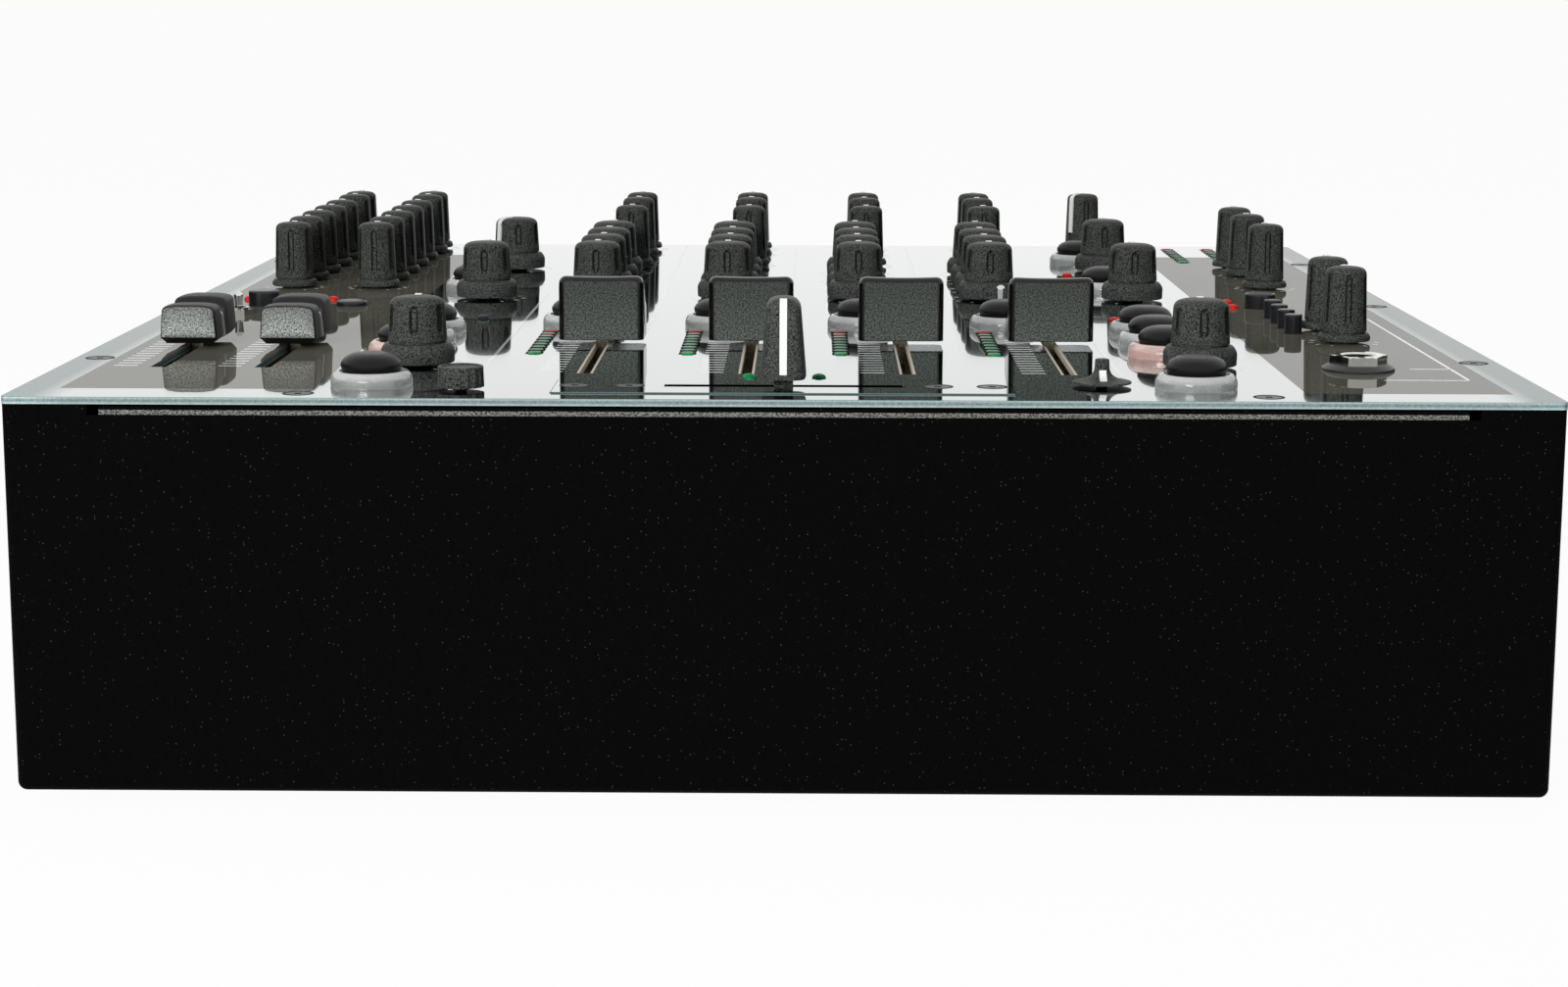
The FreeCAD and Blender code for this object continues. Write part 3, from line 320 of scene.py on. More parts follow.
camera = bpy.data.cameras.new("viewpoint")
camera.lens = LENS
camera.sensor_width = 36.0
camera.sensor_fit = "HORIZONTAL"
camera.clip_start, camera.clip_end = 0.01, 100.0
viewpoint = bpy.data.objects.new("viewpoint", camera)
bpy.context.scene.collection.objects.link(viewpoint)
turn = (
    Matrix.Rotation(math.radians(TURN), 4, "Z")
    @ Matrix.Rotation(math.radians(TILT), 4, "X")
    @ Matrix.Rotation(math.radians(ROLL), 4, "Y")
)
viewpoint.matrix_world = Matrix.Translation(EYE) @ turn @ Matrix.Rotation(math.radians(90), 4, "X")
bpy.context.scene.camera = viewpoint
bpy.context.scene.view_settings.view_transform = "Standard"
print("camera", [round(v, 3) for v in viewpoint.location])

# %% [markdown]
# A product like this is shot on a white sweep under large soft boxes. The world gives an even
# grey fill, while the camera and mirror-like surfaces see it as pure white. The floor is pale
# and keeps a faint shadow. A wide box hangs overhead, and a smaller one, low in front and to
# the left, lights the faces of knobs and caps. Neither shows in the lacquer, where it would be
# a glare. Two black cloths keep the white off the sides of knobs and caps.

# %% Studio
FILL = 0.08
FLOOR_WHITE = 0.96


def shown_rays(made):
    """An output that is 1 for rays from the camera, a mirror or clear plastic, and else 0."""
    path = add(made, "ShaderNodeLightPath")
    seen = add(made, "ShaderNodeMath", {"operation": "MAXIMUM"},
               {0: path.outputs["Is Camera Ray"], 1: path.outputs["Is Glossy Ray"]})
    return add(made, "ShaderNodeMath", {"operation": "MAXIMUM"},
               {0: seen.outputs[0], 1: path.outputs["Is Transmission Ray"]}).outputs[0]


world = bpy.data.worlds.new("white sweep")
world.use_nodes = True
bpy.context.scene.world = world
fill = world.node_tree.nodes["Background"]
fill.inputs["Color"].default_value = (1, 1, 1, 1)
fill.inputs["Strength"].default_value = FILL
white = add(world, "ShaderNodeBackground", None, {"Color": (1, 1, 1, 1), "Strength": 1.0})
mixed = add(world, "ShaderNodeMixShader", None,
            {0: shown_rays(world), 1: fill.outputs[0], 2: white.outputs[0]})
link(world, mixed.outputs[0], world.node_tree.nodes["World Output"].inputs["Surface"])

sweep, sweep_shader = new_finish("painted studio floor", Base_Color=paint("#F4F5F4"), Roughness=0.9)
glow = add(sweep, "ShaderNodeEmission", None, {"Color": (1, 1, 1, 1), "Strength": 1.0})
share = add(sweep, "ShaderNodeMath", {"operation": "MULTIPLY"}, {0: shown_rays(sweep), 1: FLOOR_WHITE})
mixed = add(sweep, "ShaderNodeMixShader", None,
            {0: share.outputs[0], 1: sweep_shader.outputs[0], 2: glow.outputs[0]})
link(sweep, mixed.outputs[0], sweep.node_tree.nodes["Material Output"].inputs["Surface"])


def sheet(name, corners, finish):
    """One flat four-cornered sheet of the set, which isn't part of the object."""
    mesh = bpy.data.meshes.new(name)
    mesh.from_pydata(corners, [], [(0, 1, 2, 3)])
    mesh.materials.append(finish)
    made = bpy.data.objects.new(name, mesh)
    bpy.context.scene.collection.objects.link(made)
    return made


REACH = 60.0
sheet("floor", [(-REACH, -REACH, 0), (REACH, -REACH, 0), (REACH, REACH, 0), (-REACH, REACH, 0)], sweep)

# place, tilt in degrees, width, height, watts
SOFT_BOXES = {
    "overhead": ((0.0, 0.05, 1.30), (0, 0, 0), 1.5, 1.2, 6.0),
    "front key": ((-0.45, -1.25, 0.42), (75, 0, -20), 0.5, 0.35, 17.0),
}
for name, (place, tilt, wide, high, watts) in SOFT_BOXES.items():
    lamp = bpy.data.lights.new(name, "AREA")
    lamp.shape = "RECTANGLE"
    lamp.size, lamp.size_y, lamp.energy = wide, high, watts
    box = bpy.data.objects.new(name, lamp)
    box.location = place
    box.rotation_euler = [math.radians(a) for a in tilt]
    box.visible_glossy = False
    bpy.context.scene.collection.objects.link(box)

FLAG_X, FLAG_NEAR, FLAG_FAR, FLAG_TOP = 0.5, -0.35, 0.6, 0.2
flag_cloth, _ = new_finish("black flag cloth", Base_Color=paint("#050505"), Roughness=0.95,
                           Specular_IOR_Level=0.0)
for name, x in (("left flag", -FLAG_X), ("right flag", FLAG_X)):
    corners = [(x, FLAG_NEAR, 0), (x, FLAG_FAR, 0), (x, FLAG_FAR, FLAG_TOP), (x, FLAG_NEAR, FLAG_TOP)]
    flag = sheet(name, corners, flag_cloth)
    flag.visible_camera = flag.visible_diffuse = flag.visible_shadow = False
print("soft boxes", len(SOFT_BOXES))

# %% [markdown]
# The tray and the socket panel are folded steel with a fine-textured black powder coat. The
# powder melts into tiny bumps, which scatter a weak sheen and catch a few glints; the glints are
# painted into the colour as bright specks. A noise as wide as the bumps drives the bump, and a
# sparser cell pattern the painted specks. Where the front wall folds in under the panel, the
# rounded fold carries a painted highlight: pale grains in its colour. Bumps and grain are drawn
# coarser than they are, because finer ones don't show.

# %% Powder-coated steel
POWDER_BUMP = 0.55
SPECK_SPACING = 0.9
SPECK_SHARE = 0.28
BEND_GRAIN = 0.45

powder, shader = new_finish("powder-coated steel", Roughness=0.55, Specular_IOR_Level=0.02)
where = add(powder, "ShaderNodeTexCoord").outputs["Object"]
grain = add(powder, "ShaderNodeTexNoise", None,
            {"Vector": where, "Scale": per_metre(POWDER_BUMP), "Detail": 3.0, "Roughness": 0.6})
tone = add(powder, "ShaderNodeMix", {"data_type": "RGBA"},
           {0: grain.outputs[0], 6: paint("#020202"), 7: paint("#080808")})
spots = add(powder, "ShaderNodeTexVoronoi", None, {"Vector": where, "Scale": per_metre(SPECK_SPACING)})
glint_speck = add(powder, "ShaderNodeMapRange", None,
            {"Value": spots.outputs["Distance"], "From Min": 0.05, "From Max": 0.2,
             "To Min": 1.0, "To Max": 0.0})
lucky = add(powder, "ShaderNodeSeparateColor", None, {0: spots.outputs["Color"]})
few = add(powder, "ShaderNodeMath", {"operation": "GREATER_THAN"},
          {0: lucky.outputs[0], 1: 1 - SPECK_SHARE})
bright = add(powder, "ShaderNodeMath", {"operation": "MULTIPLY"}, {0: glint_speck.outputs[0], 1: few.outputs[0]})
# Painted glints: bright specks in the colour stand for light caught by the powder's bumps.
glint_flecked = add(powder, "ShaderNodeMix", {"data_type": "RGBA"},
              {0: bright.outputs[0], 6: tone.outputs[2], 7: paint("#3A3B39")})
rise = add(powder, "ShaderNodeBump", None,
           {"Strength": 0.35, "Distance": 0.08 * MM, "Height": grain.outputs[0]})
link(powder, glint_flecked.outputs[2], shader.inputs["Base Color"])
link(powder, rise.outputs[0], shader.inputs["Normal"])


def dress(finish, *names):
    """Give CAD nodes a finish in place of their plain one."""
    for name in names:
        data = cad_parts[name].data
        data.materials.clear()
        data.materials.append(finish)


dress(powder, "base_tray", "rear_panel")

# Painted highlight: the fold's colour has pale grains where its rounded bend would catch the light.
fold_highlight, shader = new_finish("powder coat with a painted highlight on a fold", Roughness=0.35, Metallic=0.3)
where = add(fold_highlight, "ShaderNodeTexCoord").outputs["Object"]
grain = add(fold_highlight, "ShaderNodeTexNoise", None,
            {"Vector": where, "Scale": per_metre(BEND_GRAIN), "Detail": 2.0, "Roughness": 0.7})
crisp = add(fold_highlight, "ShaderNodeMapRange", None,
            {"Value": grain.outputs[0], "From Min": 0.38, "From Max": 0.62, "To Min": 0.0, "To Max": 1.0})
tone = add(fold_highlight, "ShaderNodeMix", {"data_type": "RGBA"},
           {0: crisp.outputs[0], 6: paint("#0B0B0B"), 7: paint("#80817C")})
link(fold_highlight, tone.outputs[2], shader.inputs["Base Color"])

FOLD_END = 139.75
FOLD_BELOW = 2.3
FOLD_RADIUS = 0.65
FOLD_OUT, FOLD_IN = 0.5, 0.3
a = np.linspace(0, np.pi, 9)
fold = np.stack([FRONT + FOLD_IN - FOLD_OUT * np.sin(a),
                 panel_low[2] - FOLD_BELOW + FOLD_RADIUS * (1 - np.cos(a))], axis=-1)
rings = np.stack([np.column_stack([np.full(len(a), x), fold]) for x in (-FOLD_END, FOLD_END)])
piece("tray_fold", skin(rings[:, ::-1]), fold_highlight, "chassis")
print(powder.name, len(powder.node_tree.nodes), "nodes")

# %% [markdown]
# The control panel is steel sheet sprayed in a blue-grey metallic and sealed with clear
# lacquer. Seen along the surface, the lacquer is nearly a mirror. Two taupe fields, printed
# with a duller ink, mark the microphone and master sections. Along both sides a painted shade
# makes the coat duller and slate blue. The cut edge shows the coarser sprayed texture, with a
# painted highlight on the pale arrises above and below a darker middle. All of it is one
# finish, since Object coordinates say where on the sheet a point lies.

# %% Lacquered panel
FLAKE = 0.5
# Blue, taupe and, third, the slate tone of the painted shade along the sides.
LACQUER_TONES = (("#3F5859", "#6E8B88"), ("#57564C", "#727065"), ("#5C7371", "#8CA09C"))
EDGE_GRAIN = 0.6
EDGE_TOP = 0.1
# The painted shade on the sides sets in between these distances from the middle.
SHADED_SIDES = (147.0, 154.0)
# middle x, half width, middle depth from the front, half depth
FIELDS = {"microphones": (-124.5, 26.5, 166.5, 153.5), "master": (130.0, 21.5, 166.0, 154.0)}

lacquer, shader = new_finish("lacquered metallic steel", Specular_IOR_Level=0.0, Coat_Roughness=0.015,
                             Coat_IOR=1.7)
where = add(lacquer, "ShaderNodeTexCoord").outputs["Object"]
axis = add(lacquer, "ShaderNodeSeparateXYZ", None, {0: where})
flake = add(lacquer, "ShaderNodeTexNoise", None,
            {"Vector": where, "Scale": per_metre(FLAKE), "Detail": 2.0, "Roughness": 0.7})
blue, taupe, side_shade_tone = [
    add(lacquer, "ShaderNodeMix", {"data_type": "RGBA"},
        {0: flake.outputs[0], 6: paint(dark), 7: paint(pale)}) for dark, pale in LACQUER_TONES]
from_middle = add(lacquer, "ShaderNodeMath", {"operation": "ABSOLUTE"}, {0: axis.outputs["X"]})
side_shade = add(lacquer, "ShaderNodeMapRange", None,
             {"Value": from_middle.outputs[0], "From Min": SHADED_SIDES[0] * MM, "From Max": SHADED_SIDES[1] * MM,
              "To Min": 0.0, "To Max": 0.85})
surface = add(lacquer, "ShaderNodeMix", {"data_type": "RGBA"},
              {0: side_shade.outputs[0], 6: blue.outputs[2], 7: side_shade_tone.outputs[2]})
covered = side_shade.outputs[0]
for middle_x, half_x, middle_depth, half_depth in FIELDS.values():
    inside = None
    for source, middle, half in (("X", middle_x, half_x), ("Y", FRONT + middle_depth, half_depth)):
        away = add(lacquer, "ShaderNodeMath", {"operation": "SUBTRACT"},
                   {0: axis.outputs[source], 1: middle * MM})
        far = add(lacquer, "ShaderNodeMath", {"operation": "ABSOLUTE"}, {0: away.outputs[0]})
        near = add(lacquer, "ShaderNodeMath", {"operation": "LESS_THAN"}, {0: far.outputs[0], 1: half * MM})
        if inside is not None:
            near = add(lacquer, "ShaderNodeMath", {"operation": "MULTIPLY"}, {0: inside, 1: near.outputs[0]})
        inside = near.outputs[0]
    surface = add(lacquer, "ShaderNodeMix", {"data_type": "RGBA"},
                  {0: inside, 6: surface.outputs[2], 7: taupe.outputs[2]})
    covered = add(lacquer, "ShaderNodeMath", {"operation": "MAXIMUM"}, {0: covered, 1: inside}).outputs[0]
speckle = add(lacquer, "ShaderNodeTexNoise", None,
              {"Vector": where, "Scale": per_metre(EDGE_GRAIN), "Detail": 3.0})
from_core = add(lacquer, "ShaderNodeMath", {"operation": "SUBTRACT"},
                {0: axis.outputs["Z"], 1: (panel_low[2] + DECK) / 2 * MM})
aside = add(lacquer, "ShaderNodeMath", {"operation": "ABSOLUTE"}, {0: from_core.outputs[0]})
# Painted highlight: the cut edge is paler towards its upper and lower arrises than in its middle.
arris_highlight = add(lacquer, "ShaderNodeMapRange", None,
            {"Value": aside.outputs[0], "From Min": 0.15 * MM, "From Max": 0.6 * MM,
             "To Min": 0.0, "To Max": 0.55})
pale = add(lacquer, "ShaderNodeMath", {"operation": "MULTIPLY_ADD"},
           {0: speckle.outputs[0], 1: 0.75, 2: arris_highlight.outputs[0]})
edge = add(lacquer, "ShaderNodeMix", {"data_type": "RGBA"},
           {0: pale.outputs[0], 6: paint("#1F3F48"), 7: paint("#AFC5C5")})
below = add(lacquer, "ShaderNodeMath", {"operation": "LESS_THAN"},
            {0: axis.outputs["Z"], 1: (DECK - EDGE_TOP) * MM})
coloured = add(lacquer, "ShaderNodeMix", {"data_type": "RGBA"},
               {0: below.outputs[0], 6: surface.outputs[2], 7: edge.outputs[2]})
link(lacquer, coloured.outputs[2], shader.inputs["Base Color"])
for socket, source, factor, base in (("Roughness", flake.outputs[0], 0.06, 0.04),
                                     ("Metallic", covered, -1.0, 1.0), ("Coat Weight", covered, -0.4, 1.0)):
    scaled = add(lacquer, "ShaderNodeMath", {"operation": "MULTIPLY_ADD"}, {0: source, 1: factor, 2: base})
    link(lacquer, scaled.outputs[0], shader.inputs[socket])
dress(lacquer, "top_panel", "crossfader_plate")
print(lacquer.name, len(lacquer.node_tree.nodes), "nodes")

# %% [markdown]
# Knobs are moulded in a hard plastic with a faint satin grain. A low bump about a third of a
# millimetre wide breaks the highlight, and the roughness varies a little where fingers
# polish it. An attribute of the mesh says how steep a groove's wall is, and there the plastic
# is painted black as painted shade. Fader caps share the plastic, but their finger faces were
# cut by spark erosion in the mould. Their glints are painted into the colour as grey glitter,
# which is brighter low on the face as a painted reflection, so that finish looks at which way a
# face points, how far forward it lies and how high. Both grains are drawn coarser than they are,
# because finer ones don't show.

# %% Moulded plastics
SATIN_GRAIN = 0.32
SPARK_GRAIN = 0.4
GROOVE_SHADE = "groove_shade"
DULL = 0.55
SPARK_FACING = (-0.93, -0.985)
MIC_FACE = 8.0

satin, shader = new_finish("satin moulded ABS", IOR=1.53, Specular_IOR_Level=0.06)
where = add(satin, "ShaderNodeTexCoord").outputs["Object"]
grain = add(satin, "ShaderNodeTexNoise", None,
            {"Vector": where, "Scale": per_metre(SATIN_GRAIN), "Detail": 3.0, "Roughness": 0.6})
crisp = add(satin, "ShaderNodeMapRange", None,
            {"Value": grain.outputs[0], "From Min": 0.38, "From Max": 0.62, "To Min": 0.0, "To Max": 1.0})
tone = add(satin, "ShaderNodeMix", {"data_type": "RGBA"},
           {0: crisp.outputs[0], 6: paint("#090909"), 7: paint("#565955")})
worn = add(satin, "ShaderNodeMath", {"operation": "MULTIPLY_ADD"}, {0: grain.outputs[0], 1: 0.22, 2: 0.32})
rise = add(satin, "ShaderNodeBump", None,
           {"Strength": 0.25, "Distance": 0.06 * MM, "Height": grain.outputs[0]})
# Painted shade: where a groove's wall is steep, the plastic is darkened to near black.
groove_shade = add(satin, "ShaderNodeAttribute", {"attribute_name": GROOVE_SHADE})
shaded = add(satin, "ShaderNodeMix", {"data_type": "RGBA"},
             {0: groove_shade.outputs["Fac"], 6: tone.outputs[2], 7: paint("#020202")})
link(satin, shaded.outputs[2], shader.inputs["Base Color"])
link(satin, worn.outputs[0], shader.inputs["Roughness"])
link(satin, rise.outputs[0], shader.inputs["Normal"])


def sparked(name, dark, pale, behind, polish, heights, top_share):
    """Dark ABS, as smooth as its polish says, whose faces that point forward, and lie in front
    of this y, carry grey glitter that paints their glints. The glitter fades from full at the lower
    height to a share of it at the upper one, a painted reflection that is brighter low on the face."""
    made, shader = new_finish(name, IOR=1.53, Specular_IOR_Level=0.3)
    coordinates = add(made, "ShaderNodeTexCoord")
    where = coordinates.outputs["Object"]
    facing = add(made, "ShaderNodeSeparateXYZ", None, {0: coordinates.outputs["Normal"]})
    lying = add(made, "ShaderNodeSeparateXYZ", None, {0: where})
    ahead = add(made, "ShaderNodeMath", {"operation": "LESS_THAN"}, {0: lying.outputs["Y"], 1: behind * MM})
    flat = add(made, "ShaderNodeMapRange", None,
               {"Value": facing.outputs["Y"], "From Min": SPARK_FACING[0], "From Max": SPARK_FACING[1],
                "To Min": 0.0, "To Max": 1.0})
    finger = add(made, "ShaderNodeMath", {"operation": "MULTIPLY"}, {0: flat.outputs[0], 1: ahead.outputs[0]})
    grain = add(made, "ShaderNodeTexNoise", None,
                {"Vector": where, "Scale": per_metre(SPARK_GRAIN), "Detail": 2.0, "Roughness": 0.7})
    crisp = add(made, "ShaderNodeMapRange", None,
                {"Value": grain.outputs[0], "From Min": 0.36, "From Max": 0.64, "To Min": 0.0, "To Max": 1.0})
    # Painted reflection: the glitter is brightest low on the face and dims with height.
    reflection_fade = add(made, "ShaderNodeMapRange", None,
               {"Value": lying.outputs["Z"], "From Min": heights[0] * MM, "From Max": heights[1] * MM,
                "To Min": 1.0, "To Max": top_share})
    glint_share = add(made, "ShaderNodeMath", {"operation": "MULTIPLY"}, {0: crisp.outputs[0], 1: reflection_fade.outputs[0]})
    # Painted glints: the spark texture's glints are grey speckles in the base colour.
    painted_glints = add(made, "ShaderNodeMix", {"data_type": "RGBA"},
                  {0: glint_share.outputs[0], 6: paint(dark), 7: paint(pale)})
    tone = add(made, "ShaderNodeMix", {"data_type": "RGBA"},
               {0: finger.outputs[0], 6: paint("#0A0A0A"), 7: painted_glints.outputs[2]})
    dull = add(made, "ShaderNodeMath", {"operation": "MULTIPLY_ADD"},
               {0: finger.outputs[0], 1: DULL - polish, 2: polish})
    strength = add(made, "ShaderNodeMath", {"operation": "MULTIPLY_ADD"},
                   {0: finger.outputs[0], 1: 0.5, 2: 0.05})
    rise = add(made, "ShaderNodeBump", None,
               {"Strength": strength.outputs[0], "Distance": 0.1 * MM, "Height": grain.outputs[0]})
    link(made, tone.outputs[2], shader.inputs["Base Color"])
    link(made, dull.outputs[0], shader.inputs["Roughness"])
    link(made, rise.outputs[0], shader.inputs["Normal"])
    return made


mic_face_end = seat("mic_fader_1")[0, 1] - MIC_FACE
spark = sparked("spark-textured ABS", "#080908", "#6B706B", behind=0.0, polish=0.12,
                heights=(DECK + 1.0, DECK + 15.0), top_share=0.5)
# The microphone caps' painted glints are near white.
bright_glint_spark = sparked("spark-textured ABS with bright painted glints", "#2E312F", "#D2D8D3", behind=mic_face_end, polish=0.5,
                       heights=(DECK + 3.0, DECK + 10.5), top_share=0.3)
# Inlaid lines are an even, faintly warm white with a soft shine.
ivory = clouded("white inlay plastic", "#DEDEDA", "#F6F6F4", 0.8, 2.0, Roughness=0.35, IOR=1.5)
print(satin.name, spark.name, bright_glint_spark.name, ivory.name)

# %% [markdown]
# The slim and the skirted knob are turned shapes with six upright finger grooves. A groove
# is a dent with round ends: the radius loses depth where a point is nearer than half a width
# to the groove's middle line. Angles crowd together near the grooves, so their edges stay
# crisp without a dense mesh elsewhere. The groove at the back is filled by the white inlay.

# %% Knob shapes
SECTOR = math.pi / 3
TALL_OUTLINE = [(2.9, -3.0), (2.9, 0.6), (6.1, 0.6), (6.2, 1.5), (5.7, 2.4), (4.85, 2.4), (4.85, 2.8),
                (5.25, 2.8), (4.8, 17.3), (3.4, 18.0), (0.5, 18.2)]
TALL_ROUNDING = [0, 0, 0.3, 0.4, 0.3, 0, 0, 0.12, 1.0, 0.8, 0]
# A groove has a width, a low end, a high end and a depth.
TALL_GROOVE = (1.7, 4.4, 16.4, 0.6)
WIDE_OUTLINE = [(2.9, -3.0), (2.9, 0.6), (8.1, 0.6), (8.2, 3.5), (7.2, 5.0), (6.1, 5.0), (6.1, 5.4),
                (6.55, 5.4), (6.05, 14.3), (4.4, 15.2), (0.5, 15.4)]
WIDE_ROUNDING = [0, 0, 0.3, 0.7, 0.4, 0, 0, 0.12, 1.0, 1.0, 0]
WIDE_GROOVE = (2.0, 7.4, 13.5, 0.75)
INLAY_WIDTH = 1.5
INLAY_PROUD = 0.25
PROFILE_STEP = 0.8
CROWDED_WIDTHS = 0.62
WALL_STEEPNESS = 2.2


def grooved(outline, rounding, groove):
    """A turned knob: at arc a from a groove's middle line and h past its straight part, its
    radius loses depth * s*s*(3-2s), where s grows as hypot(a, h) gets inside half a width.
    The walls, 4s(1-s), are returned too; they say where the groove is painted dark as shade."""
    width, low, high, depth = groove
    profile = refine(soften(outline, rounding), PROFILE_STEP)
    reach = CROWDED_WIDTHS * width / outline[-3][0]
    near = np.linspace(-reach, reach, 13)
    between = np.linspace(reach, SECTOR - reach, 6)[1:-1]
    sector = np.r_[near, between]
    angles = (sector + SECTOR * np.arange(6)[:, None]).ravel() - math.pi / 2
    r, z = profile.T[:, :, None]
    arc = r * np.abs((angles + math.pi / 2 + SECTOR / 2) % SECTOR - SECTOR / 2)
    past = np.maximum(np.maximum(low + width / 2 - z, z - high + width / 2), 0)
    s = np.clip(WALL_STEEPNESS * (1 - np.hypot(arc, past) / (width / 2)), 0, 1)
    r = r - depth * s * s * (3 - 2 * s)
    wall_shade = np.r_[(4 * s * (1 - s)).ravel(), 0, 0]
    return skin(ringed(r, z, angles)), profile, wall_shade


def inlay(profile, groove, inner=1.8, bearing=90.0):
    """A bar that follows the knob's profile from the groove's foot over its shoulder to the
    radius inner: each ring is a rectangle between just above and half a mm under the skin."""
    _, low, _, depth = groove
    steps = refine(profile[(profile[:, 1] > low + 1) & (profile[:, 0] > inner)], 1.0)
    along = np.gradient(steps, axis=0)
    out = np.stack([along[:, 1], -along[:, 0]], axis=1) / np.linalg.norm(along, axis=1)[:, None]
    outer, under = (steps + INLAY_PROUD * out).T, (steps - depth * out).T
    half = INLAY_WIDTH / 2
    rows = [(outer, half), (outer, -half), (under, -half), (under, half)]
    rings = np.stack([np.stack([r, side + 0 * r, z], axis=-1) for (r, z), side in rows], axis=1)
    return spun(skin(rings), bearing)


tall_cap, tall_profile, tall_wall_shade = grooved(TALL_OUTLINE, TALL_ROUNDING, TALL_GROOVE)
wide_cap, wide_profile, wide_wall_shade = grooved(WIDE_OUTLINE, WIDE_ROUNDING, WIDE_GROOVE)
tall_line = inlay(tall_profile, TALL_GROOVE)
wide_line = inlay(wide_profile, WIDE_GROOVE)
print("points in a slim and a skirted knob:", len(tall_cap[0]), len(wide_cap[0]))

# %% [markdown]
# A knob that turns is a piece of its own and rides on its own body. The slim knobs that share
# one node are set down in two groups, so that neither mesh grows too heavy. Two knobs are
# turned aside at rest, so their white lines show from the front.

# %% Set the knobs on their shafts
ASIDE = 130.0
SLIMMEST_SKIRT = 11.0
MICROPHONE_SIDE = -90.0
wide_names = [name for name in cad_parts
              if name.startswith("eq_") or (name.startswith("filter_") and name.endswith("_knob"))]
tall_names = ["headphone_level_knob", "headphone_mix_knob", "booth_level_knob"]
kinds = ((wide_names, wide_cap, wide_line, wide_wall_shade), (tall_names, tall_cap, tall_line, tall_wall_shade))
for names, cap, line, wall_shade in kinds:
    for name in names:
        angle = ASIDE if name == "filter_1_depth_knob" else 0.0
        cap_here, line_here = (copies(spun(shape, angle), seat(name)) for shape in (cap, line))
        piece(name + "_cap", cap_here, satin, name, [name], groove_shade=wall_shade)
        piece(name + "_line", line_here, ivory, name)

level_knobs = [solid for solid in solids("level_knobs") if (solid[1] - solid[0])[0] > SLIMMEST_SKIRT]
level_places = middles(level_knobs)
aside_x = seat("filter_2_depth_knob")[0, 0]
is_aside = np.abs(level_places[:, 0] - aside_x) < 1.0
by_microphones = level_places[:, 0] < MICROPHONE_SIDE
groups = (("microphone", by_microphones, ["level_knobs"]), ("channel", ~by_microphones, []))
for name, group, replaced in groups:
    turns = [(ASIDE, level_places[group & is_aside]), (0.0, level_places[group & ~is_aside])]
    caps, lines = (joined([copies(spun(shape, angle), places) for angle, places in turns if len(places)])
                   for shape in (tall_cap, tall_line))
    piece(f"{name}_level_caps", caps, satin, "chassis", replaced, groove_shade=tall_wall_shade)
    piece(f"{name}_level_lines", lines, ivory, "chassis")
print("skirted", len(wide_names), "slim", len(tall_names) + len(level_places))

# %% [markdown]
# Two low knobs flank the crossfader. One is ribbed round its side and dished on top: its
# radius swings with the cosine of sixteen times the angle. The other flares like a bell,
# and a white line runs down its front.

# %% Curve and selector knobs
RIBS = 16
RIB_DEPTH = 0.28
RIB_INNER, RIB_TOP, RIB_FADE = 4.3, 4.7, 0.5
CURVE_OUTLINE = [(1.2, -3.0), (1.2, 0.6), (4.9, 0.6), (4.75, 5.0), (4.1, 5.0), (3.9, 4.65), (0.4, 4.65)]
BELL_OUTLINE = [(1.2, -3.0), (1.2, 0.6), (6.25, 0.6), (6.25, 1.0), (3.4, 1.5), (1.6, 2.8), (1.5, 5.75),
                (0.3, 5.8)]
BELL_GROOVE = (1.0, 0.4, 5.0, 0.2)
BELL_LINE_TOP = 3.6

r, z = refine(soften(CURVE_OUTLINE, [0, 0, 0.15, 0.3, 0.15, 0.15, 0]), 1.0).T[:, :, None]
angles = np.linspace(0, 2 * np.pi, 12 * RIBS, endpoint=False)
ribbed = (r > RIB_INNER) * np.clip((RIB_TOP - z) / RIB_FADE, 0, 1)
r = r - RIB_DEPTH * ribbed * np.clip(0.5 - 0.9 * np.cos(RIBS * angles), 0, 1)
curve_cap = copies(skin(ringed(r, z, angles)), seat("curve_knob"))
piece("curve_knob_cap", curve_cap, satin, "curve_knob", ["curve_knob"])

bell = refine(soften(BELL_OUTLINE, [0, 0, 0.1, 0.15, 1.3, 1.2, 0.4, 0]), 0.6)
bell_cap = copies(skin(turned(bell, ROUND)), seat("selector_knob"))
piece("selector_knob_bell", bell_cap, satin, "selector_knob", ["selector_knob"])
bell_line = inlay(bell[bell[:, 1] < BELL_LINE_TOP], BELL_GROOVE, 1.4, -90.0)
piece("selector_knob_line", copies(bell_line, seat("selector_knob")), ivory, "selector_knob")
print("curve knob ribs", RIBS)

# %% [markdown]
# The channel fader caps are broad shields: an upright finger face, a scooped back and a low
# rear lip. The side profile is carried from left to right and shrinks a little near both ends,
# which rounds every edge of the sides. A plated steel stem stands in the slot below, and the
# slot's inner edges show the dull tinned mouth of the fader.

# %% Channel fader caps
CAP_GAP = 1.2
CHANNEL_LIP = 8.0
CHANNEL_EDGE = 2.9
CHANNEL_SIDE = 1.8
SCOOP_POWER = 1.7
TOP_DIP = 0.25
STEM_THIN, STEM_DEEP = 1.25, 2.0
STEM_FOOT, STEM_BITE = 8.0, 1.0
# Depths of the slots from the panel's front edge, and their length.
SLOT_FRONT = {f"channel_fader_{k}": 42.5 for k in range(1, 5)} | {f"mic_fader_{k}": 50.0 for k in (1, 2)}
SLOT_TRAVEL = 60.0
SLOT_SPARE = 2.4
RAIL_INNER, RAIL_OUTER, RAIL_FOOT, RAIL_PROUD = 1.2, 1.73, 1.45, 0.02

# Nickel plate over steel is a warm, slightly scuffed mirror.
plated = clouded("nickel-plated steel", "#9A8E78", "#CFC7B4", 0.9, 4.0, wear=(0.25, 0.1), Metallic=1.0)
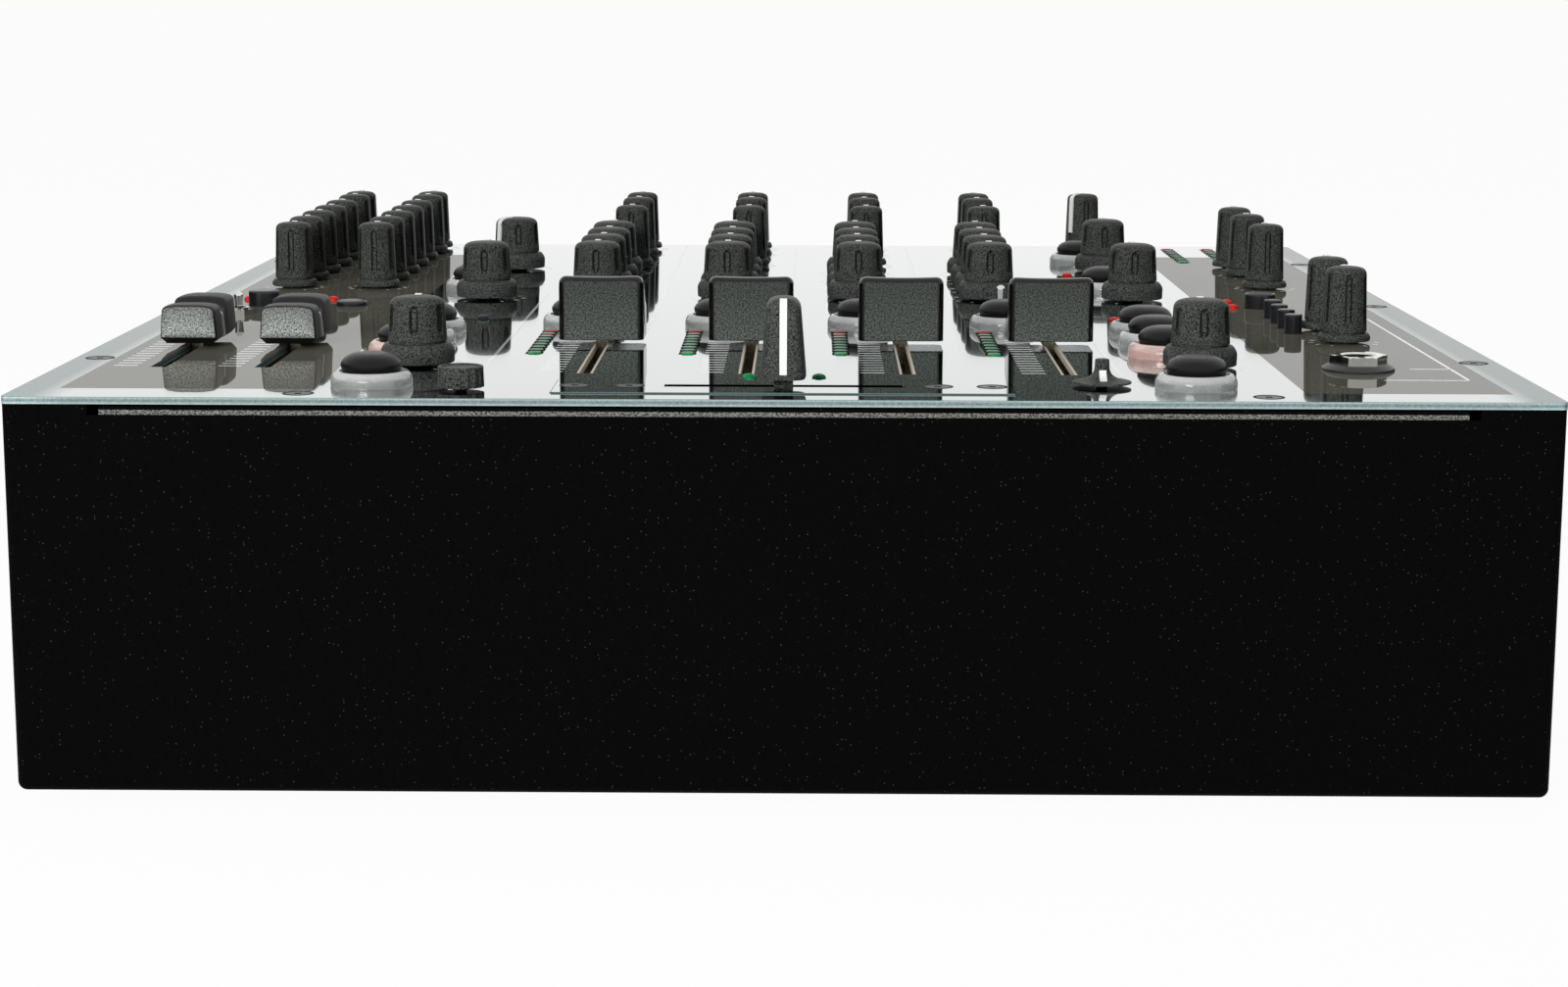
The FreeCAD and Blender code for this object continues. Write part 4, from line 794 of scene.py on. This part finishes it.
# Tinned steel gone dull is pale and blotchy, with no clear reflection.
tinned = clouded("dull tinned steel", "#A79B84", "#F0EBDD", 0.7, 3.0, Metallic=0.25, Roughness=0.5)


def carried(profile, stations, shrink):
    """A closed side profile of (y, z) carried along x: at each station it is drawn in by that
    many mm at the front, back and top, and a dip of 1 - (x / half)^2 is taken from its top."""
    tall = profile[:, 1].max()
    half = (profile[:, 0].max() - profile[:, 0].min()) / 2
    scale = 1 - np.asarray(shrink)[:, None] / (half, tall)
    yz = profile[None] * scale[:, None]
    x = np.broadcast_to(np.asarray(stations)[:, None, None], (len(stations), len(profile), 1))
    rings = np.concatenate([x, yz], axis=-1)
    dip = TOP_DIP * (1 - (rings[..., 0] / rings[..., 0].max()) ** 2)
    rings[..., 2] -= dip * (rings[..., 2] / tall) ** 6
    return rings


def edge_stations(half, radius, steps=6):
    """Stations across a width, with a quarter-round of that radius at both ends."""
    a = np.linspace(0, np.pi / 2, steps)
    inward = radius * (1 - np.sin(a))
    x = half - radius * (1 - np.cos(a))
    middle = np.linspace(-half + radius, half - radius, 8)[1:-1]
    return np.r_[-x, middle, x[::-1]], np.r_[inward, 0 * middle, inward[::-1]]


def stem(name, half_x, half_y, gap, finish):
    """A fader's stem: an upright bar from under the deck into its cap, which starts at the gap."""
    low = seat(name) - (half_x, half_y, STEM_FOOT)
    high = seat(name) + (half_x, half_y, gap + STEM_BITE)
    piece(name + "_stem", slabs(low, high), finish, name)


channel_names = [name for name in SLOT_FRONT if name.startswith("channel")]
rails = []
for name in channel_names:
    x = seat(name)[0, 0]
    near = FRONT + SLOT_FRONT[name] - SLOT_SPARE
    far = FRONT + SLOT_FRONT[name] + SLOT_TRAVEL + SLOT_SPARE
    foot, top = DECK - RAIL_FOOT, DECK + RAIL_PROUD
    rails.append(slabs([[x - RAIL_OUTER, near, foot], [x + RAIL_INNER, near, foot]],
                       [[x - RAIL_INNER, far, top], [x + RAIL_OUTER, far, top]]))
piece("slot_rails", joined(rails), tinned, "chassis")

for name in channel_names:
    low, high = span(name)
    half_x, half_y = (high - low)[:2] / 2
    top = high[2] - DECK - CAP_GAP
    scoop = np.linspace(0, 1, 8)[1:-1]
    back_y = -half_y + CHANNEL_EDGE + (2 * half_y - CHANNEL_EDGE) * scoop
    back_z = top - (top - CHANNEL_LIP) * (1 - (1 - scoop) ** SCOOP_POWER)
    outline = [(-half_y, 0), (half_y, 0), (half_y, CHANNEL_LIP), *zip(back_y[::-1], back_z[::-1]),
               (-half_y + CHANNEL_EDGE, top), (-half_y, top)]
    rounding = [0.25, 0.8, 0.8] + [0] * len(scoop) + [0.6, 1.7]
    side = soften(outline, rounding)
    side = refine(np.concatenate([side, side[:1]]), 1.5)[:-1]
    rings = carried(side, *edge_stations(half_x, CHANNEL_SIDE))
    cap = copies(skin(rings[:, ::-1]), seat(name, CAP_GAP))
    piece(name + "_cap", cap, spark, name, [name])
    stem(name, STEM_THIN, STEM_DEEP, CAP_GAP, plated)
print("channel caps", [round(float(v), 1) for v in span("channel_fader_1")[1]])

# %% [markdown]
# The microphone faders have longer, lower caps: a square finger block in front, a waist with
# a white line round it, and a slightly higher block behind. Here the cross-section is carried
# from front to back. Its corners are rounded above and cut off below, it narrows and sinks at
# the waist, and its bottom lifts at the front, which gives the dark chamfer under the face.

# %% Microphone fader caps
MIC_SECTION = [(-5.3, 0), (5.3, 0), (6.6, 1.4), (6.1, 9.1), (2.9, 9.6), (-2.9, 9.6), (-6.1, 9.1),
               (-6.6, 1.4)]
# Each station: y, width share, height share, lift of the bottom.
MIC_STATIONS = np.array([
    (-12.0, 0.94, 0.895, 1.5), (-11.93, 0.96, 0.91, 1.4), (-11.7, 0.98, 0.925, 1.1),
    (-11.3, 0.995, 0.933, 0.6), (-10.7, 1.0, 0.935, 0.0), (-8.0, 1.0, 0.935, 0.0),
    (-5.2, 0.995, 0.93, 0.0), (-4.8, 0.985, 0.915, 0.0), (-4.5, 0.97, 0.88, 0.0),
    (-4.2, 0.96, 0.82, 0.0), (-3.0, 0.955, 0.78, 0.0), (-1.0, 0.955, 0.76, 0.0),
    (0.6, 0.955, 0.78, 0.0), (1.4, 0.965, 0.86, 0.0), (1.9, 0.98, 0.94, 0.0),
    (2.4, 0.99, 0.985, 0.0), (3.2, 1.0, 1.0, 0.0), (7.5, 1.0, 1.0, 0.0),
    (11.2, 0.995, 0.99, 0.0), (11.8, 0.96, 0.975, 0.3), (12.0, 0.92, 0.955, 0.6)])
MIC_BAND = np.array([(-4.4, 1.05, 0.74, 0.9), (-3.4, 1.05, 0.74, 0.9)])
section = soften(MIC_SECTION, [0.2, 0.2, 0.4, 1.2, 1.0, 1.0, 1.2, 0.4])


def lofted(stations):
    """The section at each y, its x times the width share and its z times the height share, but
    never below the lift."""
    y, wide, high, lift = stations.T[:, :, None]
    x, z = section.T
    return np.stack([x * wide, y + 0 * x, np.maximum(z * high, lift)], axis=-1)


for name in ("mic_fader_1", "mic_fader_2"):
    cap, band = (copies(skin(lofted(stations)[:, ::-1]), seat(name, CAP_GAP))
                 for stations in (MIC_STATIONS, MIC_BAND))
    piece(name + "_cap", cap, bright_glint_spark, name, [name])
    piece(name + "_line", band, ivory, name)
    stem(name, STEM_THIN, STEM_DEEP, CAP_GAP, plated)
print("microphone cap stations", len(MIC_STATIONS))

# %% [markdown]
# The crossfader's blade is a rounded rectangle that narrows as it rises and closes over in a
# round top. A superellipse gives that outline.
# The white line climbs its front and goes over the top.

# %% Crossfader
CROSS_GAP = 2.3
CROSS_TIP = 3.5
CROSS_LEAN = 1.5
CROSS_GROOVE = (1.3, 0.0, 17.0, 0.4)
low, high = span("crossfader")
tall = high[2] - DECK - CROSS_GAP
half_wide, half_deep = (high - low)[:2] / 2
rise = np.r_[0, 0.4, np.linspace(1.2, tall - 2.2, 8), tall - 1.6, tall - 1.0, tall - 0.5, tall - 0.15, tall]
draw = np.r_[0.25, 0.04, np.zeros(8), 0.12, 0.4, 0.85, 1.5, 2.3]
wide = half_wide - (half_wide - CROSS_TIP) * rise / tall - draw
deep = half_deep - CROSS_LEAN * rise / tall - draw
x, y = superellipse(ROUND, 0.5).T
rings = np.stack([wide[:, None] * x, deep[:, None] * y, rise[:, None] + 0 * ROUND], axis=-1)
place = seat("crossfader", CROSS_GAP)
piece("crossfader_cap", copies(skin(rings), place), satin, "crossfader", ["crossfader"])
bar = inlay(np.stack([deep, rise], axis=1)[1:-1], CROSS_GROOVE, 0.0, -90.0)
piece("crossfader_line", copies(bar, place), ivory, "crossfader")
stem("crossfader", STEM_DEEP, STEM_THIN, CROSS_GAP, satin)
print("crossfader height", round(float(tall), 2))

# %% [markdown]
# The lit buttons are black silicone domes in milky light rings. Rubber has a soft, broad
# highlight and picks up a little dust. The rings are frosted polycarbonate that lets light
# through, so it gets some transmission, and the lit ones glow faintly. The unlit ones get a
# fainter painted glow, and all rings are painted paler on top and darker on their wall, as
# painted light and shade.

# %% Rubber domes and light rings
RING_SHADE = (1.4, 2.5)
LIT_DEPTH = 73.0
silicone = clouded("moulded silicone rubber", "#060606", "#121212", 0.6, 4.0, wear=(0.3, 0.22), IOR=1.41,
                   Specular_IOR_Level=0.3)


def frosted(name, dark, pale, glow):
    """Frosted polycarbonate that light partly passes through, cloudy, painted pale above and darker on its
    wall as painted light and shade; it glows by glow.
    """
    made, shader = new_finish(name, Roughness=0.1, IOR=1.58, Transmission_Weight=0.7, Emission_Strength=glow)
    where = add(made, "ShaderNodeTexCoord").outputs["Object"]
    cloud = add(made, "ShaderNodeTexNoise", None, {"Vector": where, "Scale": per_metre(0.35), "Detail": 2.0})
    height = add(made, "ShaderNodeSeparateXYZ", None, {0: where})
    # Painted light and shade: the ring's colour is paler towards its top and darker on its wall.
    painted_top_light = add(made, "ShaderNodeMapRange", None,
             {"Value": height.outputs["Z"], "From Min": (DECK + RING_SHADE[0]) * MM,
              "From Max": (DECK + RING_SHADE[1]) * MM, "To Min": -0.2, "To Max": 0.7})
    share = add(made, "ShaderNodeMath", {"operation": "MULTIPLY_ADD", "use_clamp": True},
                {0: cloud.outputs[0], 1: 0.8, 2: painted_top_light.outputs[0]})
    tone = add(made, "ShaderNodeMix", {"data_type": "RGBA"},
               {0: share.outputs[0], 6: paint(dark), 7: paint(pale)})
    link(made, tone.outputs[2], shader.inputs["Base Color"])
    shader.inputs["Emission Color"].default_value = paint(pale)
    return made


# The unlit rings glow faintly too: a painted glow.
milky = frosted("frosted polycarbonate", "#9BA19D", "#FBFCFB", 0.04)
rosy = frosted("lit frosted polycarbonate", "#C9A79E", "#F6DDD6", 0.1)

dome_outline = [(2.0, -4.0), (2.0, 1.5), (6.0, 1.5), (6.1, 3.4), (6.5, 4.3), (6.1, 5.7), (3.9, 6.9),
                (0.5, 7.1)]
dome = skin(turned(soften(dome_outline, [0, 0, 0.3, 0.5, 0.6, 1.2, 1.2, 0]), ROUND))
for name in ("cue_buttons", "filter_1_buttons", "filter_2_buttons"):
    piece(name + "_domes", copies(dome, middles(solids(name))), silicone, name, [name])

ring_outline = [(6.85, 0.0), (8.6, 0.0), (8.6, 2.1), (7.5, 3.3), (6.85, 3.2)]
ring_profile = soften(ring_outline, [0.1, 0.15, 0.9, 0.6, 0.2])
ring = skin(turned(ring_profile, ROUND), loop=True)
ring_places = middles(solids("button_rings"))
is_lit = np.round(ring_places[:, 1] - FRONT, 1) == LIT_DEPTH
piece("light_rings", copies(ring, ring_places[~is_lit]), milky, "chassis", ["button_rings"])
piece("light_rings_lit", copies(ring, ring_places[is_lit]), rosy, "chassis")
print("rings", len(ring_places), "of them lit", int(is_lit.sum()))

# %% [markdown]
# Plain push buttons are short blue-black cylinders with a rounded rim and a slight dish. The
# second microphone's button is latched down.

# %% Plain push buttons
LATCHED = 2.6
# Blue-black nylon is darker than the knobs and has a clearer shine.
glossy = clouded("moulded blue-black nylon", "#08090B", "#17191D", 0.5, 3.0, Roughness=0.3, IOR=1.53)
for name, edge in (("round_buttons", 0.7), ("small_buttons", 0.45)):
    found = solids(name)
    low, high = found[0][:2]
    r, top = (high - low)[0] / 2, high[2] - DECK
    outline = [(r, -4.5), (r, top), (r - 2 * edge, top - 0.02), (0.3, top - 0.12)]
    shape = skin(turned(refine(soften(outline, [0, edge, 0.3, 0]), 2.0), ROUND))
    seats = middles(found)
    if name == "round_buttons":
        seats[np.argsort(seats[:, 0])[1], 2] -= LATCHED
    piece(name + "_caps", copies(shape, seats), glossy, name, [name])
print("plain buttons", len(solids("round_buttons")) + len(solids("small_buttons")))

# %% [markdown]
# Meter cells and lamps are tinted clear plastic over small diodes. Each cell is a rounded
# square with a domed top, again a superellipse. A meter reads green, amber and red from
# front to back, and a cell's place in its column tells which it is. Dark bars part the cells,
# and a lamp that is off looks smoky.

# %% Lamps
SHORTEST_CELL = 3.5
CELL_HALF = (1.55, 2.08)
GREEN_CELLS, LAST_CELL = 6, 8
GAP_BAR_FOOT, GAP_BAR_TOP = (1.7, 0.3, 0.5), (1.7, 0.3, 0.46)
CENTRE_REACH, FILTER_REACH = 20.0, 100.0


def lens(name, tint, deep, glow):
    """Tinted acrylic over a diode: saturated, half matt, and faintly lit from within."""
    made, shader = new_finish(name, Roughness=0.3, IOR=1.49, Specular_IOR_Level=0.1, Emission_Strength=glow)
    where = add(made, "ShaderNodeTexCoord").outputs["Object"]
    facet = add(made, "ShaderNodeTexVoronoi", None, {"Vector": where, "Scale": per_metre(0.9)})
    tone = add(made, "ShaderNodeMix", {"data_type": "RGBA"},
               {0: facet.outputs["Distance"], 6: paint(deep), 7: paint(tint)})
    link(made, tone.outputs[2], shader.inputs["Base Color"])
    shader.inputs["Emission Color"].default_value = paint(tint)
    return made


green_lens = lens("green tinted acrylic", "#1E9A55", "#0A4422", 0.03)
amber_lens = lens("amber tinted acrylic", "#CFC8B4", "#7E7662", 0.02)
smoky_lens = lens("smoked acrylic", "#39444B", "#1A2024", 0.0)
red_lens = lens("red tinted acrylic", "#E02A22", "#7E0D0A", 0.15)

found = solids("indicator_lamps")
places = middles(found)
is_cell = np.array([high[1] - low[1] > SHORTEST_CELL for low, high, _, _ in found])
square = superellipse(COARSE_ROUND, 0.4)
layers = np.array([(1.0, -6.0), (1.0, 0.08), (0.94, 0.2), (0.8, 0.3), (0.4, 0.35)])
rings = np.concatenate([layers[:, :1, None] * square * CELL_HALF,
                        np.broadcast_to(layers[:, 1:, None], (len(layers), len(square), 1))], axis=-1)
cell = skin(rings)
cells = places[is_cell]
pitch = np.diff(np.unique(np.round(cells[:, 1], 2))).min()
columns = np.round(cells[:, 0], 1)
rank = np.array([np.sum((columns == column) & (cells[:, 1] < y)) for column, y in zip(columns, cells[:, 1])])
is_green, is_red = rank < GREEN_CELLS, rank == LAST_CELL
meters = (("green", is_green, green_lens, ["indicator_lamps"]),
          ("amber", ~is_green & ~is_red, amber_lens, []), ("red", is_red, red_lens, []))
for colour, mine, tint, replaced in meters:
    piece(f"meter_cells_{colour}", copies(cell, cells[mine]), tint, "chassis", replaced)
gaps = cells[~is_red] + (0, pitch / 2, 0)
bars_low, bars_high = gaps - GAP_BAR_FOOT, gaps + GAP_BAR_TOP
piece("meter_gap_bars", slabs(bars_low, bars_high), glossy, "chassis")
bead_outline = [(1.45, -6.0), (1.45, 0.35), (1.3, 0.8), (0.2, 1.05)]
bead = skin(turned(soften(bead_outline, [0, 0.2, 0.5, 0]), COARSE_ROUND))
lamps = places[~is_cell]
by_crossfader = np.abs(lamps[:, 0]) < CENTRE_REACH
by_filter = (lamps[:, 0] > -FILTER_REACH) & (lamps[:, 0] < -CENTRE_REACH)
piece("lamps_red", copies(bead, lamps[~by_crossfader & ~by_filter]), red_lens, "chassis")
piece("lamps_dark", copies(bead, lamps[by_filter]), smoky_lens, "chassis")
piece("lamps_green", copies(bead, lamps[by_crossfader]), green_lens, "chassis")
print("meter cells", len(cells), "lamps", len(lamps))

# %% [markdown]
# The headphone socket is a bright hexagon nut on a black stepped collar. The nut's radius
# follows six flats, r = flat / cos(angle to the flat's middle), and the chamfer caps it.

# %% Headphone socket
# Chrome plate is a bright, slightly hazy mirror, and black nylon has a fine moulded grain.
chrome = clouded("bright chrome plate", "#C9C8C4", "#E6E5E2", 1.5, 3.0, wear=(0.12, 0.04), Metallic=1.0)
nylon, shader = new_finish("moulded black nylon", Roughness=0.38, IOR=1.53)
where = add(nylon, "ShaderNodeTexCoord").outputs["Object"]
grain = add(nylon, "ShaderNodeTexNoise", None, {"Vector": where, "Scale": per_metre(0.4), "Detail": 3.0})
tone = add(nylon, "ShaderNodeMix", {"data_type": "RGBA"},
           {0: grain.outputs[0], 6: paint("#0C0C0C"), 7: paint("#1B1B1B")})
rise = add(nylon, "ShaderNodeBump", None,
           {"Strength": 0.2, "Distance": 0.06 * MM, "Height": grain.outputs[0]})
link(nylon, tone.outputs[2], shader.inputs["Base Color"])
link(nylon, rise.outputs[0], shader.inputs["Normal"])

jack_place = seat("headphone_socket")
JACK_BORE = 3.2
COLLAR_TOP = 1.4
NUT_TOP = 3.4
WELL_TOP = 3.0
FLAT = 5.5
collar_outline = [(5.0, 0.0), (8.0, 0.0), (8.0, 0.5), (6.6, COLLAR_TOP), (5.0, COLLAR_TOP)]
collar = skin(turned(soften(collar_outline, [0, 0.1, 0.3, 0.3, 0]), ROUND), loop=True)
piece("headphone_collar", copies(collar, jack_place), nylon, "chassis",
      ["headphone_socket"])
nut_outline = np.array([(JACK_BORE, COLLAR_TOP), (9.0, COLLAR_TOP), (9.0, 2.9), (5.6, NUT_TOP),
                        (JACK_BORE + 0.8, NUT_TOP), (JACK_BORE + 0.5, WELL_TOP), (JACK_BORE, WELL_TOP)])
fine_round = np.linspace(0, 2 * np.pi, 96, endpoint=False)
r, z = refine(np.concatenate([nut_outline, nut_outline[:1]]), 0.8)[:-1].T[:, :, None]
hexagon = FLAT / np.cos((fine_round + np.pi / 6) % (np.pi / 3) - np.pi / 6)
r = np.minimum(r + 0 * fine_round, hexagon)
nut = skin(ringed(r, z, fine_round + np.pi / 2), loop=True)
piece("headphone_nut", copies(nut, jack_place), chrome, "chassis")
well_outline = [(JACK_BORE, WELL_TOP), (4.2, WELL_TOP), (4.2, -11.0), (0.3, -11.0), (0.3, -10.0),
                (JACK_BORE, -10.0)]
well = skin(turned(well_outline, ROUND), loop=True)
piece("headphone_well", copies(well, jack_place), nylon, "chassis")
dress(chrome, "toggle_bushes", "toggle_levers", "mic_toggle_lever")
print("headphone nut across flats", 2 * FLAT)

# %% [markdown]
# Behind, the sockets are split so that each part gets its own finish. The phono sockets are
# black tiles side by side, with nickel barrels, white or red inserts and washers. The tiles
# touch, so their common box is divided into two rows of eight. A profile turned about z is
# laid on its back by trading y and z, which also flips its faces, so the ring order is
# flipped as well. Line jacks and three-pin sockets are copies of CAD solids.

# %% Rear sockets
BACK = panel_high[1]
TILE_GAP = 0.08
PHONO_COLUMNS, PHONO_ROWS = 8, 2
LONG_REACH = 8.0
BARREL = [(3.4, 0.0), (4.2, 0.0), (4.2, 8.6), (4.0, 9.0), (3.6, 9.0), (3.4, 8.7)]
INSERT = [(1.6, 0.0), (3.4, 0.0), (3.4, 8.2), (1.6, 8.2)]
WASHER = [(4.3, 0.0), (6.3, 0.0), (6.3, 0.9), (5.6, 1.2), (4.3, 1.2)]


def laid_back(profile):
    """A turned ring that points backwards: (r, z) goes to (r cos a, z, r sin a)."""
    return skin(turned(profile, ROUND)[:, ::-1][:, :, [0, 2, 1]], loop=True)


def chosen(found, test):
    """The solids that pass a test of their low and high corners, as one shape."""
    return joined([(points, [faces]) for low, high, points, faces in found if test(low, high)])


rear = solids("rear_sockets")
phonos = np.array([(low, high) for low, high, _, _ in rear if high[1] > BACK + LONG_REACH])
block_low, block_high = phonos[:, 0].min(axis=0), phonos[:, 1].max(axis=0)
block_high[1] = BACK
tile = (block_high - block_low) / (PHONO_COLUMNS, 1, PHONO_ROWS)
column, row = np.divmod(np.arange(PHONO_COLUMNS * PHONO_ROWS), PHONO_ROWS)
tile_low = block_low + np.stack([column, 0 * column, row], axis=-1) * tile
tile_high = tile_low + tile
seats = (tile_low + tile_high) / 2
seats[:, 1] = BACK
inset = (TILE_GAP, 0, TILE_GAP)
tiles = slabs(tile_low + inset, tile_high - inset)
piece("phono_tiles", tiles, nylon, "chassis", ["rear_sockets"])
piece("phono_barrels", copies(laid_back(BARREL), seats), plated, "chassis")
jacks = chosen(rear, lambda low, high: high[1] < BACK + LONG_REACH)
piece("line_jacks", jacks, plated, "chassis")
upper = seats[:, 2] > seats[:, 2].mean()
for rows, name, dark, pale in ((upper, "white", "#D8D8D4", "#EFEFEC"), (~upper, "red", "#9E1512", "#C4231D")):
    finish = clouded(f"{name} moulded nylon", dark, pale, 1.0, 2.0, Roughness=0.4, IOR=1.53)
    rings = joined([laid_back(soften(WASHER, [0, 0.1, 0.2, 0.2, 0])), laid_back(INSERT)])
    piece(f"phono_rings_{name}", copies(rings, seats[rows]), finish, "chassis")
print("phono sockets", len(seats))

for name, node, pin_width in (("xlr", "xlr_sockets", 10), ("inlet", "mains_inlet", 5)):
    found = solids(node)
    shells = chosen(found, lambda low, high: (high - low)[0] > pin_width)
    pins = chosen(found, lambda low, high: (high - low)[0] < pin_width)
    piece(f"{name}_shells", shells, nylon, "chassis", [node])
    piece(f"{name}_pins", pins, plated, "chassis")
dress(glossy, "power_rocker")

# %% [markdown]
# What is left are the screws, feet, fader tracks and the boards inside, which show through
# slots and gaps: blackened steel, rubber, plated steel and green solder mask. Each is mottled
# at its own scale, from half a millimetre on the screws to three on the taped winding.

# %% Screws, feet and inner parts
# Each finish: its node, two tones, metallic, roughness and the size of its mottling.
PLAIN = {
    "blackened steel": ("screws", "#24282B", "#3A4044", 0.9, 0.35, 0.5),
    "moulded foot rubber": ("feet", "#0E0E0E", "#1C1C1C", 0.0, 0.75, 0.9),
    "green solder mask": ("control_board", "#0B3A1C", "#14502A", 0.0, 0.3, 2.0),
    "taped copper winding": ("power_supply", "#1B1B20", "#33333A", 0.0, 0.5, 3.0),
    "moulded control body": ("board_controls", "#101010", "#222222", 0.0, 0.5, 1.0),
}
for name, (node, dark, pale, metallic, roughness, size) in PLAIN.items():
    dress(clouded(name, dark, pale, size, 3.0, Metallic=metallic, Roughness=roughness), node)
dress(plated, "fader_tracks")
print("plain finishes", len(PLAIN))

# %% [markdown]
# Round each screw in the panel a thin black ring paints the shadow in the countersink's gap: a
# small rectangle turned about z and set on every screw head that reaches the deck.

# %% Countersink shadow rims
SHADOW_RIM = [(2.72, -0.2), (3.3, -0.2), (3.3, 0.04), (2.72, 0.04)]
HEAD_SINK = 0.2
# A matt black finish that paints the shadow in each countersink's gap.
countersink_shadow = clouded("painted countersink shadow", "#040404", "#151616", 0.4, 2.0, Roughness=0.6,
                Specular_IOR_Level=0.2)
tops = [(low, high) for low, high, _, _ in solids("screws") if high[2] > DECK - HEAD_SINK]
heads = np.array([[*(low + high)[:2] / 2, high[2]] for low, high in tops])
shadow_rims = copies(skin(turned(SHADOW_RIM, COARSE_ROUND), loop=True), heads)
piece("countersink_shadow_rims", shadow_rims, countersink_shadow, "chassis")
print("countersinks", len(heads))

# %% [markdown]
# White ink is screen-printed on the lacquer: section lines, fader scales and ticks round the
# knobs. Ink is a film a few hundredths of a millimetre thick, so every mark is a very flat
# bar. A bar at bearing b has its corners turned by b about its middle.

# %% Panel print
INK = 0.03
LINE_WIDTH = 0.7
SCALE_MARKS = 15
SCALE_ASIDE, SCALE_LENGTH, SCALE_WIDTH = 7.6, 5.2, 0.8
TICK_GAP, TICK_WIDTH = 1.5, 0.4
LEVEL_REACH = 7.6
KNOB_TICKS = np.radians(np.linspace(-60, 240, 11))

# Opaque white ink under clear lacquer is bright, and as glossy as the panel round it.
ink = clouded("screen-printed ink", "#E4E7E5", "#F8F9F8", 0.6, 2.0, Roughness=0.3, Coat_Weight=1.0,
              Coat_IOR=1.7, Coat_Roughness=0.015)


def bars(x, y, length, width, bearing):
    """Flat bars: a corner at (u, v) of a bar goes to (x + u cos b - v sin b, y + u sin b + v cos b)."""
    x, y, length, width, bearing = np.broadcast_arrays(*map(np.atleast_1d, (x, y, length, width, bearing)))
    low, high = np.array([-0.5, -0.5, DECK]), np.array([0.5, 0.5, DECK + INK])
    points, faces = slabs(np.tile(low, (len(x), 1)), np.tile(high, (len(x), 1)))
    corner = points.reshape(len(x), 8, 3)
    u, v = corner[:, :, 0] * length[:, None], corner[:, :, 1] * width[:, None]
    c, s = np.cos(bearing)[:, None], np.sin(bearing)[:, None]
    placed = np.stack([x[:, None] + u * c - v * s, y[:, None] + u * s + v * c, corner[:, :, 2]], axis=-1)
    return placed.reshape(-1, 3), faces


def tick_ring(x, y, reach, length):
    """Ticks round a knob: at each angle one bar lies at the reach and points outwards."""
    out_x, out_y = reach * np.cos(KNOB_TICKS), reach * np.sin(KNOB_TICKS)
    return bars(x + out_x, y + out_y, length, TICK_WIDTH, KNOB_TICKS)


# Section lines have an x, a near and a far end; cross lines a left and a right end and a depth.
SECTION_LINES = ((-66.2, 52, 205), (-34.3, 122, 353), (0.9, 122, 353), (36.0, 122, 353), (72.8, 35, 97),
                 (147.0, 33.5, 150))
CROSS_LINES = ((128.8, 147.35, 33.5), (138.0, 147.0, 52.0))
lines, cross = np.array(SECTION_LINES), np.array(CROSS_LINES)
length, width = lines[:, 2] - lines[:, 1], cross[:, 1] - cross[:, 0]
marks = [bars(lines[:, 0], FRONT + lines[:, 1:].mean(axis=1), length, LINE_WIDTH, np.pi / 2),
         bars(cross[:, :2].mean(axis=1), FRONT + cross[:, 2], width, LINE_WIDTH, 0.0)]
for name, depth in SLOT_FRONT.items():
    steps = FRONT + depth + np.linspace(0, SLOT_TRAVEL, SCALE_MARKS)
    marks.append(bars(seat(name)[0, 0] - SCALE_ASIDE, steps, SCALE_LENGTH, SCALE_WIDTH, 0.0))
for name in wide_names + tall_names:
    low, high = span(name)
    x, y, _ = seat(name)[0]
    marks.append(tick_ring(x, y, (high - low)[0] / 2 + TICK_GAP, 1.2))
for x, y, _ in level_places:
    marks.append(tick_ring(x, y, LEVEL_REACH, 1.0))
piece("panel_print", joined(marks), ink, "chassis")
print("printed marks", sum(len(points) for points, _ in marks) // 8)
